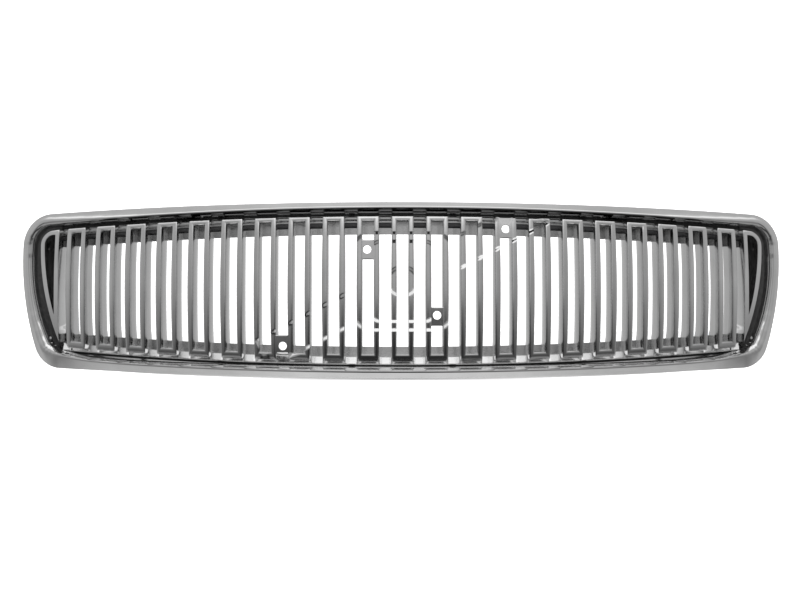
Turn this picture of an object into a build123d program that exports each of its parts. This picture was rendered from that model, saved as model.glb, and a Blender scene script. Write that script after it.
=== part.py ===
"""Front grille of a passenger car: a chromed surround holding an insert of upright slat loops.

Frame: +X to the right of someone facing the grille's front, +Y from the front towards the
engine bay, +Z up. The origin is the centre of the grille's envelope. A "depth" below is
measured from the surround's front ridge at the middle of the car, growing towards +Y.
"""
import os
from math import atan2, cos, hypot, pi, sin, sqrt

from build123d import *

os.makedirs("parts", exist_ok=True)

# ---------------------------------------------------------------- driving dimensions, mm
BOW_RADIUS = 948.0          # plan curve of the whole front
ORIGIN_DEPTH = 60.93        # depth of the envelope's centre

# Surround outline, seen from the front
TOP_EDGE_Z = 84.2
TOP_EDGE_RADIUS = 10000.0
BOTTOM_EDGE_Z = -84.2
BOTTOM_EDGE_RADIUS = 8000.0
SIDE_CENTRE_X = 118.9
SIDE_CENTRE_Z = 31.0
SIDE_RADIUS = 266.0
TOP_CORNER_RADIUS = 33.0
BOTTOM_CORNER_RADIUS = 30.0

# Surround section
SURROUND_WALL = 2.5
OUTER_EDGE_DEPTH = 9.0      # where the face meets the outer flange
OUTER_FLANGE_END = 27.0
INNER_WALL_END = 20.0
RIDGE_ROUND = 0.9           # half width of the rounded ridge
FACE_BULGE = 0.10           # bulge of the face, as a share of its chord

# Slat loops
LOOP_COUNT = 21
LOOP_PITCH = 33.0           # along the bow
LOOP_WIDTH = 20.5
LOOP_TOP_Z = 70.7
LOOP_TOP_RADIUS = 6360.0
LOOP_BOTTOM_Z = -68.2
LOOP_BOTTOM_RADIUS = 4560.0
LOOP_FRONT_DEPTH = 6.0      # at the loop's top and bottom
LOOP_BULGE = 8.5            # how far the middle stands in front of the ends
LOOP_DEPTH = 34.0
LOOP_FOOT = 15.0            # height of the straight foot at each end
BAR_WIDTH = 4.3
OUTER_SWELL = 0.7           # how far a bar's outer side bows out at mid height
INNER_SWELL = 0.5
TOP_BAR = 3.8
BOTTOM_BAR = 6.2

# Rails behind the loops
RAIL_DEPTH = LOOP_FRONT_DEPTH + LOOP_DEPTH
RAIL_WALL = 2.5
RAIL_HEIGHT = 15.7
LINK_DEPTH = 22.0
LINK_HEIGHT = 5.2
RAIL_HALF_WIDTH = 349.0
SKIRT = 3.7                 # the bottom rail reaches this far below the loops
SEAM = 0.15                 # air between a loop and the links beside it
FLANGE_INSET = 3.0          # the insert's rim flange ends this far inside the surround's outer edge
NOTCH_HALF_WIDTH = 7.0      # clearance in a rail behind a strip tab
TOP_NOTCH = (101.5, 40.0, 66.0)         # x, lowest and highest z
BOTTOM_NOTCH = (-117.5, -61.5, -40.0)

# End loops, D shaped
END_INNER_X = 342.0
END_SIDE_CENTRE = (82.25, 54.2)
END_SIDE_RADIUS = 276.5
END_BAR_WIDTH = 4.1
END_CORNER_RADIUS = 14.0
END_FOOT = (5.0, 20.0, 9.0)

# Emblem seat
SEAT_X = 0.0
SEAT_Z = 8.0
SEAT_WIDTH = 95.0
SEAT_HEIGHT = 92.4
SEAT_CORNER = 18.0
SEAT_INNER_WIDTH = 62.0
SEAT_INNER_HEIGHT = 76.2
SEAT_INNER_CORNER = 10.0
SEAT_HUB_RADIUS = 13.9
SEAT_STEP = 3.0             # each level is this much deeper than the last
STRIP_ANGLE = 27.4
STRIP_WIDTH = 28.2
STRIP_LENGTH = 300.0
STRIP_STEP = 3.0
STUD_HOLE_RADIUS = 3.9
TAB_THICKNESS = 3.0

# Fixings
SCREW_X = (49.2, 179.3, 274.9)
SCREW_RADIUS = 1.75
SCREW_PILOT_RADIUS = 1.75
SCREW_HEAD_RADIUS = 3.6
SCREW_HEAD_HEIGHT = 2.4
SCREW_LENGTH = 15.0
SCREW_HOLE_RADIUS = 2.1
BOSS_RADIUS = 3.3
BOSS_START = 16.0
SCREW_INSET = 6.2           # screw axis, inwards from the outer edge
EAR_X = 214.0
EAR_HALF_WIDTH = 14.0
EAR_TOP_Z = 77.0
EAR_THICKNESS = 3.0
EAR_AXIS_DEPTH = 56.0
EAR_HOLE_RADIUS = 4.05
EAR_CLEARANCE = 1.0         # air round an ear where it passes the top rail
STUD_RADIUS = 4.0
STUD_LENGTH = 20.0
STUD_HEAD_RADIUS = 9.0
STUD_HEAD_HEIGHT = 2.0
STUD_GRIP = (15.0, 3.0, 3.2)
STUD_WING = (15.0, 3.4, 3.0)
RING_RADIUS = 6.5
RING_THICKNESS = 1.5
STUD_FLOAT = 0.3            # air between the ear and the stud's head, and its ring
PEG_X = 212.0
PEG_RISE = 4.0              # peg axis above the loops' lower edge
PEG_RADIUS = 4.0
PEG_LENGTH = 12.0
PEG_PAD_RADIUS = 7.0
PEG_PAD_REACH = 2.0         # the pad stands this far behind the rail's wall

FAR = 400.0                 # longer than any cut


# ---------------------------------------------------------------- shared geometry
def bow(x):
    """Depth of the plan curve at x."""
    return BOW_RADIUS - sqrt(BOW_RADIUS**2 - x**2)


def y_at(x, depth):
    """Row Y of a point at this depth behind the front ridge."""
    return bow(x) + depth - ORIGIN_DEPTH


def loop_top(x):
    return LOOP_TOP_Z - x**2 / (2 * LOOP_TOP_RADIUS)


def loop_bottom(x):
    return LOOP_BOTTOM_Z + x**2 / (2 * LOOP_BOTTOM_RADIUS)


def loop_x(number):
    """Centre of a loop, equal steps along the bow."""
    return BOW_RADIUS * sin((number - (LOOP_COUNT + 1) / 2) * LOOP_PITCH / BOW_RADIUS)


def front_plane(depth):
    """An upright plane facing +Y, with local x along +X and local y along +Z."""
    return Plane(origin=(0, depth - ORIGIN_DEPTH, 0), x_dir=(1, 0, 0), z_dir=(0, -1, 0))


def label_and_export(part, name):
    part.label = name
    export_step(part, f"parts/{name}.step")


def bowed_band(half_width, depths, lower, upper):
    """A curved plate: a strip of the bow between two depths, between two edge curves."""
    near, far = depths
    with BuildPart() as band:
        with BuildSketch(Plane.XY.offset(-FAR / 2)):
            with BuildLine():
                ThreePointArc(
                    (-half_width, y_at(half_width, near)),
                    (0, y_at(0, near)),
                    (half_width, y_at(half_width, near)),
                )
                Line((half_width, y_at(half_width, near)), (half_width, y_at(half_width, far)))
                ThreePointArc(
                    (half_width, y_at(half_width, far)),
                    (0, y_at(0, far)),
                    (-half_width, y_at(half_width, far)),
                )
                Line((-half_width, y_at(half_width, far)), (-half_width, y_at(half_width, near)))
            make_face()
        extrude(amount=FAR)
        with BuildSketch(front_plane(-FAR / 4)):
            with BuildLine():
                ThreePointArc((-half_width, upper(half_width)), (0, upper(0)), (half_width, upper(half_width)))
                Line((half_width, upper(half_width)), (half_width, lower(half_width)))
                ThreePointArc((half_width, lower(half_width)), (0, lower(0)), (-half_width, lower(half_width)))
                Line((-half_width, lower(half_width)), (-half_width, upper(half_width)))
            make_face()
        extrude(amount=-FAR, mode=Mode.INTERSECT)
    return band.part


# ---------------------------------------------------------------- surround
def common_centre(centre_a, radius_a, centre_b, radius_b, side):
    """Where two circles cross: the centre of a corner arc tangent to both edges."""
    (ax, az), (bx, bz) = centre_a, centre_b
    distance = hypot(bx - ax, bz - az)
    along = (radius_a**2 - radius_b**2 + distance**2) / (2 * distance)
    across = side * sqrt(radius_a**2 - along**2)
    ux, uz = (bx - ax) / distance, (bz - az) / distance
    return ax + along * ux - across * uz, az + along * uz + across * ux


def outline_arcs():
    """The right half of the outer edge, top to bottom: (centre, radius, first and last normal)."""
    top = (0.0, TOP_EDGE_Z - TOP_EDGE_RADIUS)
    side = (SIDE_CENTRE_X, SIDE_CENTRE_Z)
    bottom = (0.0, BOTTOM_EDGE_Z + BOTTOM_EDGE_RADIUS)
    upper = common_centre(
        top, TOP_EDGE_RADIUS - TOP_CORNER_RADIUS, side, SIDE_RADIUS - TOP_CORNER_RADIUS, -1
    )
    lower = common_centre(
        bottom, BOTTOM_EDGE_RADIUS - BOTTOM_CORNER_RADIUS, side, SIDE_RADIUS - BOTTOM_CORNER_RADIUS, 1
    )
    joints = [
        pi / 2,
        atan2(upper[1] - top[1], upper[0] - top[0]),
        atan2(upper[1] - side[1], upper[0] - side[0]),
        atan2(lower[1] - side[1], lower[0] - side[0]),
        atan2(lower[1] - bottom[1], lower[0] - bottom[0]),
        -pi / 2,
    ]
    circles = [
        (top, TOP_EDGE_RADIUS),
        (upper, TOP_CORNER_RADIUS),
        (side, SIDE_RADIUS),
        (lower, BOTTOM_CORNER_RADIUS),
        (bottom, BOTTOM_EDGE_RADIUS),
    ]
    return [(c, r, joints[i], joints[i + 1]) for i, (c, r) in enumerate(circles)]


ARCS = outline_arcs()
ARC_LENGTHS = [radius * (first - last) for _, radius, first, last in ARCS]


def along(arc, share):
    """Distance along the outer edge from the top middle."""
    return sum(ARC_LENGTHS[:arc]) + share * ARC_LENGTHS[arc]


# Distance inwards from the outer edge to the front ridge, and to the end of the inner wall
RIDGE_INSET = [
    (along(0, 0), 4.9), (along(0, 0.35), 5.6), (along(0, 0.67), 7.2), (along(0, 1), 8.8),
    (along(1, 0.6), 9.2), (along(2, 0.3), 11.0), (along(2, 1), 13.6), (along(3, 0.6), 14.2),
    (along(4, 0.1), 9.0), (along(4, 0.35), 6.8), (along(4, 0.6), 6.0), (along(4, 1), 5.8),
]
WALL_INSET = [
    (along(0, 0), 10.9), (along(0, 0.5), 11.2), (along(0, 1), 12.9), (along(1, 0.6), 13.6),
    (along(2, 0.35), 13.4), (along(2, 0.7), 15.2), (along(2, 1), 18.4), (along(3, 0.5), 20.6),
    (along(4, 0.1), 13.2), (along(4, 0.5), 11.2), (along(4, 1), 10.7),
]


def smooth_through(knots, s):
    """A cubic curve through (distance, value) knots, level at both ends."""
    slopes = [0.0]
    for before, after in zip(knots[:-2], knots[2:]):
        slopes.append((after[1] - before[1]) / (after[0] - before[0]))
    slopes.append(0.0)
    for i, (left, right) in enumerate(zip(knots[:-1], knots[1:])):
        if s <= right[0] or i == len(knots) - 2:
            span = right[0] - left[0]
            t = (s - left[0]) / span
            return (
                left[1] * (1 + 2 * t) * (1 - t) ** 2 + slopes[i] * span * t * (1 - t) ** 2
                + right[1] * t * t * (3 - 2 * t) + slopes[i + 1] * span * t * t * (t - 1)
            )
    return knots[-1][1]


def surround_section(arc, share):
    """The surround's section at one place along its outer edge."""
    (cx, cz), radius, first, last = ARCS[arc]
    angle = first + (last - first) * share
    nx, nz = cos(angle), sin(angle)
    px, pz = cx + radius * nx, cz + radius * nz
    ridge = smooth_through(RIDGE_INSET, along(arc, share))
    wall = smooth_through(WALL_INSET, along(arc, share))

    def spot(inset, depth):
        return inset, bow(px - nx * inset) + depth - ORIGIN_DEPTH

    def wall_depth(inset):
        return INNER_WALL_END * (inset - ridge) / (wall - ridge)

    face_start = ridge - RIDGE_ROUND
    face_end_depth = RIDGE_ROUND * OUTER_EDGE_DEPTH / ridge
    middle = spot(
        face_start / 2 - FACE_BULGE * OUTER_EDGE_DEPTH,
        (OUTER_EDGE_DEPTH + face_end_depth) / 2 - FACE_BULGE * face_start,
    )
    wall_start = ridge + RIDGE_ROUND * (wall - ridge) / INNER_WALL_END * 2
    ridge_tip = spot(ridge - 0.1, 0.25)
    with BuildSketch(Plane(origin=(px, 0, pz), x_dir=(-nx, 0, -nz), z_dir=(nz, 0, -nx))) as section:
        with BuildLine():
            ThreePointArc(spot(0, OUTER_EDGE_DEPTH), middle, spot(face_start, face_end_depth))
            ThreePointArc(spot(face_start, face_end_depth), ridge_tip, spot(wall_start, wall_depth(wall_start)))
            Line(spot(wall_start, wall_depth(wall_start)), spot(wall, INNER_WALL_END))
            Line(spot(wall, INNER_WALL_END), spot(wall - SURROUND_WALL, INNER_WALL_END))
            Line(
                spot(wall - SURROUND_WALL, INNER_WALL_END),
                spot(ridge - SURROUND_WALL / 6, SURROUND_WALL * 1.4),
            )
            Line(
                spot(ridge - SURROUND_WALL / 6, SURROUND_WALL * 1.4),
                spot(SURROUND_WALL, OUTER_EDGE_DEPTH + SURROUND_WALL / 2),
            )
            Line(
                spot(SURROUND_WALL, OUTER_EDGE_DEPTH + SURROUND_WALL / 2),
                spot(SURROUND_WALL, OUTER_FLANGE_END),
            )
            Line(spot(SURROUND_WALL, OUTER_FLANGE_END), spot(0, OUTER_FLANGE_END))
            Line(spot(0, OUTER_FLANGE_END), spot(0, OUTER_EDGE_DEPTH))
        make_face()
    return section.sketch


SECTION_COUNTS = (9, 6, 5, 6, 9)

sections = []
for arc_index, count in enumerate(SECTION_COUNTS):
    sections += [surround_section(arc_index, step / count) for step in range(count)]
sections.append(surround_section(len(SECTION_COUNTS) - 1, 1.0))

with BuildPart() as half_ring:
    loft(sections)


# Screw bosses stand inside the channel, along its top and bottom runs
def outer_edge_z(x, side):
    """Height of the surround's outer edge above x, on the top (+1) or bottom (-1) run."""
    if side > 0:
        return TOP_EDGE_Z - TOP_EDGE_RADIUS + sqrt(TOP_EDGE_RADIUS**2 - x**2)
    return BOTTOM_EDGE_Z + BOTTOM_EDGE_RADIUS - sqrt(BOTTOM_EDGE_RADIUS**2 - x**2)


def screw_spots():
    """Screw axes, (x, z, side)."""
    spots = []
    for x in SCREW_X:
        for sign in (-1, 1):
            for side in (1, -1):
                spots.append((sign * x, outer_edge_z(x, side) - side * SCREW_INSET, side))
    return spots


with BuildPart() as surround:
    add(half_ring.part)
    mirror(half_ring.part, about=Plane.YZ)
    for x, z, side in screw_spots():
        with BuildSketch(front_plane(bow(x) + BOSS_START)):
            with Locations((x, z)):
                Circle(BOSS_RADIUS)
        boss_end = bow(abs(x) - BOSS_RADIUS) + RAIL_DEPTH
        extrude(amount=bow(x) + BOSS_START - boss_end)
        with BuildSketch(front_plane(boss_end)):
            with Locations((x, z)):
                Circle(SCREW_PILOT_RADIUS)
        extrude(amount=SCREW_LENGTH, mode=Mode.SUBTRACT)
    for sign in (-1, 1):
        ear_end = bow(EAR_X) + EAR_AXIS_DEPTH
        ear_start = bow(EAR_X) + OUTER_FLANGE_END - 12
        with BuildSketch(Plane.XY.offset(EAR_TOP_Z - EAR_THICKNESS)):
            with Locations((sign * EAR_X, (ear_start + ear_end) / 2 - ORIGIN_DEPTH)):
                Rectangle(2 * EAR_HALF_WIDTH, ear_end - ear_start)
            with Locations((sign * EAR_X, ear_end - ORIGIN_DEPTH)):
                Circle(EAR_HALF_WIDTH)
        extrude(amount=EAR_THICKNESS)
        with BuildSketch(Plane.XY.offset(EAR_TOP_Z - EAR_THICKNESS)):
            with Locations((sign * EAR_X, ear_end - ORIGIN_DEPTH)):
                Circle(EAR_HOLE_RADIUS)
        extrude(amount=EAR_THICKNESS, mode=Mode.SUBTRACT)
        for rib in (-1, 1):
            rib_x = sign * EAR_X + rib * (EAR_HALF_WIDTH - 1)
            with BuildSketch(Plane(origin=(rib_x, 0, 0), x_dir=(0, 1, 0), z_dir=(1, 0, 0))):
                with BuildLine():
                    rib_front = ear_start - ORIGIN_DEPTH
                    rib_back = bow(EAR_X) + OUTER_FLANGE_END - ORIGIN_DEPTH
                    Polyline(
                        (rib_front, EAR_TOP_Z - 1),
                        (rib_front, TOP_EDGE_Z - 3),
                        (rib_back, TOP_EDGE_Z - 3),
                        (rib_back + 14, EAR_TOP_Z - 1),
                        close=True,
                    )
                make_face()
            extrude(amount=1, both=True)

label_and_export(surround.part, "surround")


# ---------------------------------------------------------------- slat loops
def side_profile(foot_top, foot_bottom):
    """A loop seen from the side, as (depth, z): bowed front, straight feet on the rails."""
    top, bottom = LOOP_TOP_Z, LOOP_BOTTOM_Z
    start, end = LOOP_FRONT_DEPTH, RAIL_DEPTH
    middle = (top + bottom) / 2
    with BuildLine() as outline:
        ThreePointArc((start, top), (start - LOOP_BULGE, middle), (start, bottom))
        Line((start, bottom), (end, bottom))
        Line((end, bottom), (end, foot_bottom))
        Line((end, foot_bottom), (end - 3, foot_bottom + 2))
        ThreePointArc((end - 3, foot_bottom + 2), (end - LOOP_BULGE, middle), (end - 3, foot_top - 2))
        Line((end - 3, foot_top - 2), (end, foot_top))
        Line((end, foot_top), (end, top))
        Line((end, top), (start, top))
    return outline.line


def skin_profile(depth):
    """The air in front of a loop plus this much of its front, seen from the side."""
    middle = (LOOP_TOP_Z + LOOP_BOTTOM_Z) / 2
    start = LOOP_FRONT_DEPTH + depth
    with BuildLine() as outline:
        ThreePointArc((start, LOOP_TOP_Z), (start - LOOP_BULGE, middle), (start, LOOP_BOTTOM_Z))
        Line((start, LOOP_BOTTOM_Z), (-25, LOOP_BOTTOM_Z))
        Line((-25, LOOP_BOTTOM_Z), (-25, LOOP_TOP_Z))
        Line((-25, LOOP_TOP_Z), (start, LOOP_TOP_Z))
    return outline.line


def side_plane(x):
    """Upright plane at x, local x along +Y and local y up."""
    return Plane(origin=(x, y_at(x, 0), 0), x_dir=(0, 1, 0), z_dir=(1, 0, 0))


def along_bow(x):
    """Direction of the plan curve at x."""
    return sqrt(1 - (x / BOW_RADIUS) ** 2), x / BOW_RADIUS, 0


def half_width_at(x):
    """Half of a loop's width along X, narrowed by the bow."""
    return LOOP_WIDTH / 2 * sqrt(1 - (x / BOW_RADIUS) ** 2)


def upright_outline(left, right, low, high, left_swell, right_swell):
    """Front outline between two nearly upright edges, each bowed by its swell."""
    middle = (LOOP_TOP_Z + LOOP_BOTTOM_Z) / 2
    with BuildLine() as outline:
        Line((left, high(left)), (right, high(right)))
        ThreePointArc((right, high(right)), (right + right_swell, middle), (right, low(right)))
        Line((right, low(right)), (left, low(left)))
        ThreePointArc((left, low(left)), (left - left_swell, middle), (left, high(left)))
    return outline.line


def loop_outline(x):
    half = half_width_at(x)
    return upright_outline(x - half, x + half, loop_bottom, loop_top, OUTER_SWELL, OUTER_SWELL)


def opening_outline(x):
    half = half_width_at(x) - BAR_WIDTH
    return upright_outline(
        x - half, x + half,
        lambda at: loop_bottom(at) + BOTTOM_BAR, lambda at: loop_top(at) - TOP_BAR,
        -INNER_SWELL, -INNER_SWELL,
    )


def seat_outlines():
    """The emblem seat's outlines from the front, each with its depth below the loop's front."""
    with BuildSketch() as strip:
        with Locations(Location((SEAT_X, SEAT_Z), STRIP_ANGLE)):
            Rectangle(STRIP_LENGTH, STRIP_WIDTH)
    with BuildSketch() as seat:
        with Locations((SEAT_X, SEAT_Z)):
            RectangleRounded(SEAT_WIDTH, SEAT_HEIGHT, SEAT_CORNER)
    with BuildSketch() as inner_seat:
        with Locations((SEAT_X, SEAT_Z)):
            RectangleRounded(SEAT_INNER_WIDTH, SEAT_INNER_HEIGHT, SEAT_INNER_CORNER)
    with BuildSketch() as hub:
        with Locations((SEAT_X, SEAT_Z)):
            Circle(SEAT_HUB_RADIUS)
    return [
        (strip.sketch, STRIP_STEP),
        (seat.sketch, SEAT_STEP),
        (inner_seat.sketch, 2 * SEAT_STEP),
        (hub.sketch, 3 * SEAT_STEP),
    ]


def seat_cutter(outline, depth, x):
    """What one level of the emblem seat takes off the loop at x."""
    with BuildPart() as cutter:
        with BuildSketch(side_plane(x)):
            with BuildLine():
                add(skin_profile(depth))
            make_face()
        extrude(amount=LOOP_WIDTH, dir=along_bow(x), both=True)
        with BuildSketch(front_plane(-FAR / 4)):
            add(outline)
        extrude(amount=-FAR, mode=Mode.INTERSECT)
    return cutter.part


SEAT_LEVELS = seat_outlines()


def loop_blank(number):
    """A loop before the emblem seat is cut into it; the right half mirrors the left."""
    if number > (LOOP_COUNT + 1) // 2:
        return loop_blank(LOOP_COUNT + 1 - number).mirror(Plane.YZ)
    x = loop_x(number)
    with BuildPart() as loop:
        with BuildSketch(side_plane(x)):
            with BuildLine():
                add(side_profile(loop_top(x) - LOOP_FOOT, loop_bottom(x) + LOOP_FOOT))
            make_face()
        extrude(amount=LOOP_WIDTH, dir=along_bow(x), both=True)
        with BuildSketch(front_plane(-FAR / 4)):
            with BuildLine():
                add(loop_outline(x))
            make_face()
            with BuildLine():
                add(opening_outline(x))
            make_face(mode=Mode.SUBTRACT)
        extrude(amount=-FAR, mode=Mode.INTERSECT)
    return loop.part


def slat_loop(number):
    x = loop_x(number)
    with BuildPart() as loop:
        add(loop_blank(number))
        for outline, depth in SEAT_LEVELS:
            reach = outline.bounding_box()
            if reach.min.X < x + LOOP_WIDTH / 2 and reach.max.X > x - LOOP_WIDTH / 2:
                add(seat_cutter(outline, depth, x), mode=Mode.SUBTRACT)
    return loop.part


for loop_number in range(1, LOOP_COUNT + 1):
    label_and_export(slat_loop(loop_number), f"loop_{loop_number:02d}")


# ---------------------------------------------------------------- end loops
def end_outline():
    """The right-hand end loop from the front: upright inside, curved outside."""
    cx, cz = END_SIDE_CENTRE
    tip_z = cz - sqrt(END_SIDE_RADIUS**2 - (END_INNER_X - cx) ** 2)
    with BuildSketch() as shape:
        with Locations(END_SIDE_CENTRE):
            Circle(END_SIDE_RADIUS)
        with BuildSketch(mode=Mode.INTERSECT):
            with BuildLine():
                Polyline(
                    (END_INNER_X, tip_z - 1),
                    (END_INNER_X, loop_top(END_INNER_X)),
                    (END_INNER_X + 40, loop_top(END_INNER_X + 40) - 1.5),
                    (END_INNER_X + 40, tip_z - 1),
                    close=True,
                )
            make_face()
        corner = shape.vertices().sort_by(Axis((0, 0, 0), (1, 1, 0)))[-1]
        fillet(corner, END_CORNER_RADIUS)
    return shape.sketch


def rim_region():
    """The right half of the space inside the surround's outer flange, from the front."""
    def rim(arc, share):
        (cx, cz), radius, first, last = ARCS[arc]
        angle = first + (last - first) * share
        return cx + (radius - FLANGE_INSET) * cos(angle), cz + (radius - FLANGE_INSET) * sin(angle)

    with BuildSketch() as region:
        with BuildLine():
            for arc in range(len(ARCS)):
                ThreePointArc(rim(arc, 0), rim(arc, 0.5), rim(arc, 1))
            Line(rim(len(ARCS) - 1, 1), rim(0, 0))
        make_face()
    return region.sketch


def end_plate():
    """The closed rim flange behind and beside the right-hand end loop."""
    start = RAIL_HALF_WIDTH + 2 * SEAM
    window_top = loop_top(RAIL_HALF_WIDTH) - RAIL_HEIGHT - 2 * SEAM
    window_bottom = loop_bottom(RAIL_HALF_WIDTH) + RAIL_HEIGHT
    with BuildPart() as plate:
        add(
            bowed_band(
                SIDE_CENTRE_X + SIDE_RADIUS, (RAIL_DEPTH - 0.5, RAIL_DEPTH + RAIL_WALL),
                lambda x: outer_edge_z(x, -1), lambda x: outer_edge_z(x, 1),
            )
        )
        with BuildSketch(front_plane(-FAR / 4)):
            add(rim_region())
            with BuildSketch(mode=Mode.INTERSECT):
                with Locations((start, 0)):
                    Rectangle(FAR, FAR, align=(Align.MIN, Align.CENTER))
                with Locations((END_INNER_X, window_bottom)):
                    Rectangle(FAR, window_top - window_bottom, align=(Align.MIN, Align.MIN))
        extrude(amount=-FAR, mode=Mode.INTERSECT)
    return plate.part


def end_loop():
    x = END_INNER_X + 10
    outline = end_outline()
    with BuildPart() as loop:
        with BuildSketch(side_plane(x)):
            with BuildLine():
                add(side_profile(loop_top(x) - LOOP_FOOT, LOOP_BOTTOM_Z + LOOP_FOOT))
            make_face()
        extrude(amount=LOOP_WIDTH, dir=along_bow(x), both=True)
        with BuildSketch(front_plane(-FAR / 4)):
            add(outline)
            offset(outline, amount=-END_BAR_WIDTH, kind=Kind.INTERSECTION, mode=Mode.SUBTRACT)
        extrude(amount=-FAR, mode=Mode.INTERSECT)
        # A foot carries the lower tip down to the bottom rail
        foot_width, foot_height, foot_depth = END_FOOT
        with BuildSketch(Plane.XY.offset(loop_bottom(END_INNER_X) + 0.6)):
            with Locations((END_INNER_X + foot_width / 2, y_at(END_INNER_X, RAIL_DEPTH - foot_depth / 2))):
                Rectangle(foot_width, foot_depth)
        extrude(amount=foot_height)
        add(end_plate())
    return loop.part


END_LOOP = end_loop()
label_and_export(END_LOOP, "end_loop_right")
label_and_export(END_LOOP.mirror(Plane.YZ), "end_loop_left")


# ---------------------------------------------------------------- rails
def gap_edges():
    """Left and right x of each gap between neighbouring loops, seams included."""
    edges = [-END_INNER_X]
    for number in range(1, LOOP_COUNT + 1):
        x = loop_x(number)
        edges += [x - half_width_at(x), x + half_width_at(x)]
    edges.append(END_INNER_X)
    return [(left + SEAM, right - SEAM) for left, right in zip(edges[0::2], edges[1::2])]


def notch_cutter(x, low, high, half_width):
    """A box from front to back that clears whatever passes a rail."""
    with BuildPart() as notch:
        with BuildSketch(front_plane(bow(x) + LINK_DEPTH + 12)):
            with Locations((x, (low + high) / 2)):
                Rectangle(2 * half_width, high - low)
        extrude(amount=-2 * LINK_DEPTH)
    return notch.part


def screw_seat_depth(x):
    """Depth of the flat seat under a screw's head."""
    return bow(x) + RAIL_DEPTH + RAIL_WALL - 1


def screw_drill(x, z):
    """The clearance hole and flat head seat for one rail screw."""
    with BuildPart() as drill:
        with BuildSketch(front_plane(bow(x) + LINK_DEPTH)):
            with Locations((x, z)):
                Circle(SCREW_HOLE_RADIUS)
        extrude(amount=-(RAIL_DEPTH - LINK_DEPTH + 3 * RAIL_WALL))
        with BuildSketch(front_plane(screw_seat_depth(x))):
            with Locations((x, z)):
                Circle(SCREW_HEAD_RADIUS + 0.6)
        extrude(amount=-3 * RAIL_WALL)
    return drill.part


def links(low, high):
    """The short bridges between neighbouring loops."""
    with BuildPart() as bridges:
        add(bowed_band(RAIL_HALF_WIDTH, (LINK_DEPTH, RAIL_DEPTH + RAIL_WALL / 2), low, high))
        with BuildSketch(front_plane(-FAR / 4)):
            for left, right in gap_edges():
                with BuildLine():
                    Polyline(
                        (left, low(left)), (right, low(right)),
                        (right, high(right) + 1), (left, high(left) + 1),
                        close=True,
                    )
                make_face()
        extrude(amount=-FAR, mode=Mode.INTERSECT)
    return bridges.part


with BuildPart() as top_rail:
    add(
        bowed_band(
            RAIL_HALF_WIDTH, (RAIL_DEPTH, RAIL_DEPTH + RAIL_WALL),
            lambda x: loop_top(x) - RAIL_HEIGHT, lambda x: outer_edge_z(x, 1) - FLANGE_INSET,
        )
    )
    add(links(lambda x: loop_top(x) - LINK_HEIGHT, loop_top))
    add(notch_cutter(*TOP_NOTCH, NOTCH_HALF_WIDTH), mode=Mode.SUBTRACT)
    for sign in (-1, 1):
        ear_low = EAR_TOP_Z - EAR_THICKNESS - EAR_CLEARANCE
        add(
            notch_cutter(sign * EAR_X, ear_low, TOP_EDGE_Z, EAR_HALF_WIDTH + EAR_CLEARANCE),
            mode=Mode.SUBTRACT,
        )
    for x, z, side in screw_spots():
        if side == 1:
            add(screw_drill(x, z), mode=Mode.SUBTRACT)

label_and_export(top_rail.part, "top_rail")

with BuildPart() as bottom_rail:
    add(
        bowed_band(
            RAIL_HALF_WIDTH, (RAIL_DEPTH, RAIL_DEPTH + RAIL_WALL),
            lambda x: outer_edge_z(x, -1) + FLANGE_INSET, lambda x: loop_bottom(x) + RAIL_HEIGHT - 2.4,
        )
    )
    add(
        bowed_band(
            RAIL_HALF_WIDTH, (LINK_DEPTH, RAIL_DEPTH + RAIL_WALL / 2),
            lambda x: loop_bottom(x) - SKIRT, lambda x: loop_bottom(x) - SEAM,
        )
    )
    add(links(lambda x: loop_bottom(x) - SKIRT, lambda x: loop_bottom(x) + SKIRT))
    add(notch_cutter(*BOTTOM_NOTCH, NOTCH_HALF_WIDTH), mode=Mode.SUBTRACT)
    for x, z, side in screw_spots():
        if side == -1:
            add(screw_drill(x, z), mode=Mode.SUBTRACT)
    for sign in (-1, 1):
        peg_place = Locations((sign * PEG_X, loop_bottom(PEG_X) + PEG_RISE))
        with BuildSketch(front_plane(bow(PEG_X) + RAIL_DEPTH + RAIL_WALL / 2)):
            with peg_place:
                Circle(PEG_PAD_RADIUS)
        extrude(amount=-(RAIL_WALL / 2 + PEG_PAD_REACH))
        with BuildSketch(front_plane(bow(PEG_X) + RAIL_DEPTH + RAIL_WALL + PEG_PAD_REACH)):
            with peg_place:
                Circle(PEG_RADIUS)
        extrude(amount=-PEG_LENGTH)

label_and_export(bottom_rail.part, "bottom_rail")


# ---------------------------------------------------------------- emblem tabs
def emblem_tab(hole, left, right, low, high, swells, depth):
    """A plate between two bars with a round hole for an emblem stud."""
    x, z = hole
    with BuildPart() as tab:
        with BuildSketch(side_plane(x)):
            with BuildLine():
                add(skin_profile(depth + TAB_THICKNESS))
            make_face()
            with BuildLine():
                add(skin_profile(depth))
            make_face(mode=Mode.SUBTRACT)
        extrude(amount=LOOP_WIDTH, dir=along_bow(x), both=True)
        with BuildSketch(front_plane(-FAR / 4)):
            with BuildLine():
                add(upright_outline(left, right, loop_bottom, loop_top, *swells))
            make_face()
            with Locations((x, (low + high) / 2)):
                Rectangle(2 * LOOP_WIDTH, high - low, mode=Mode.INTERSECT)
            with Locations(hole):
                Circle(STUD_HOLE_RADIUS, mode=Mode.SUBTRACT)
        extrude(amount=-FAR, mode=Mode.INTERSECT)
    return tab.part


def opening_sides(number):
    x = loop_x(number)
    half = half_width_at(x) - BAR_WIDTH
    return x - half, x + half


def gap_sides(number):
    """The two sides of the gap to the right of a loop."""
    here, after = loop_x(number), loop_x(number + 1)
    return here + half_width_at(here), after - half_width_at(after)


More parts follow.
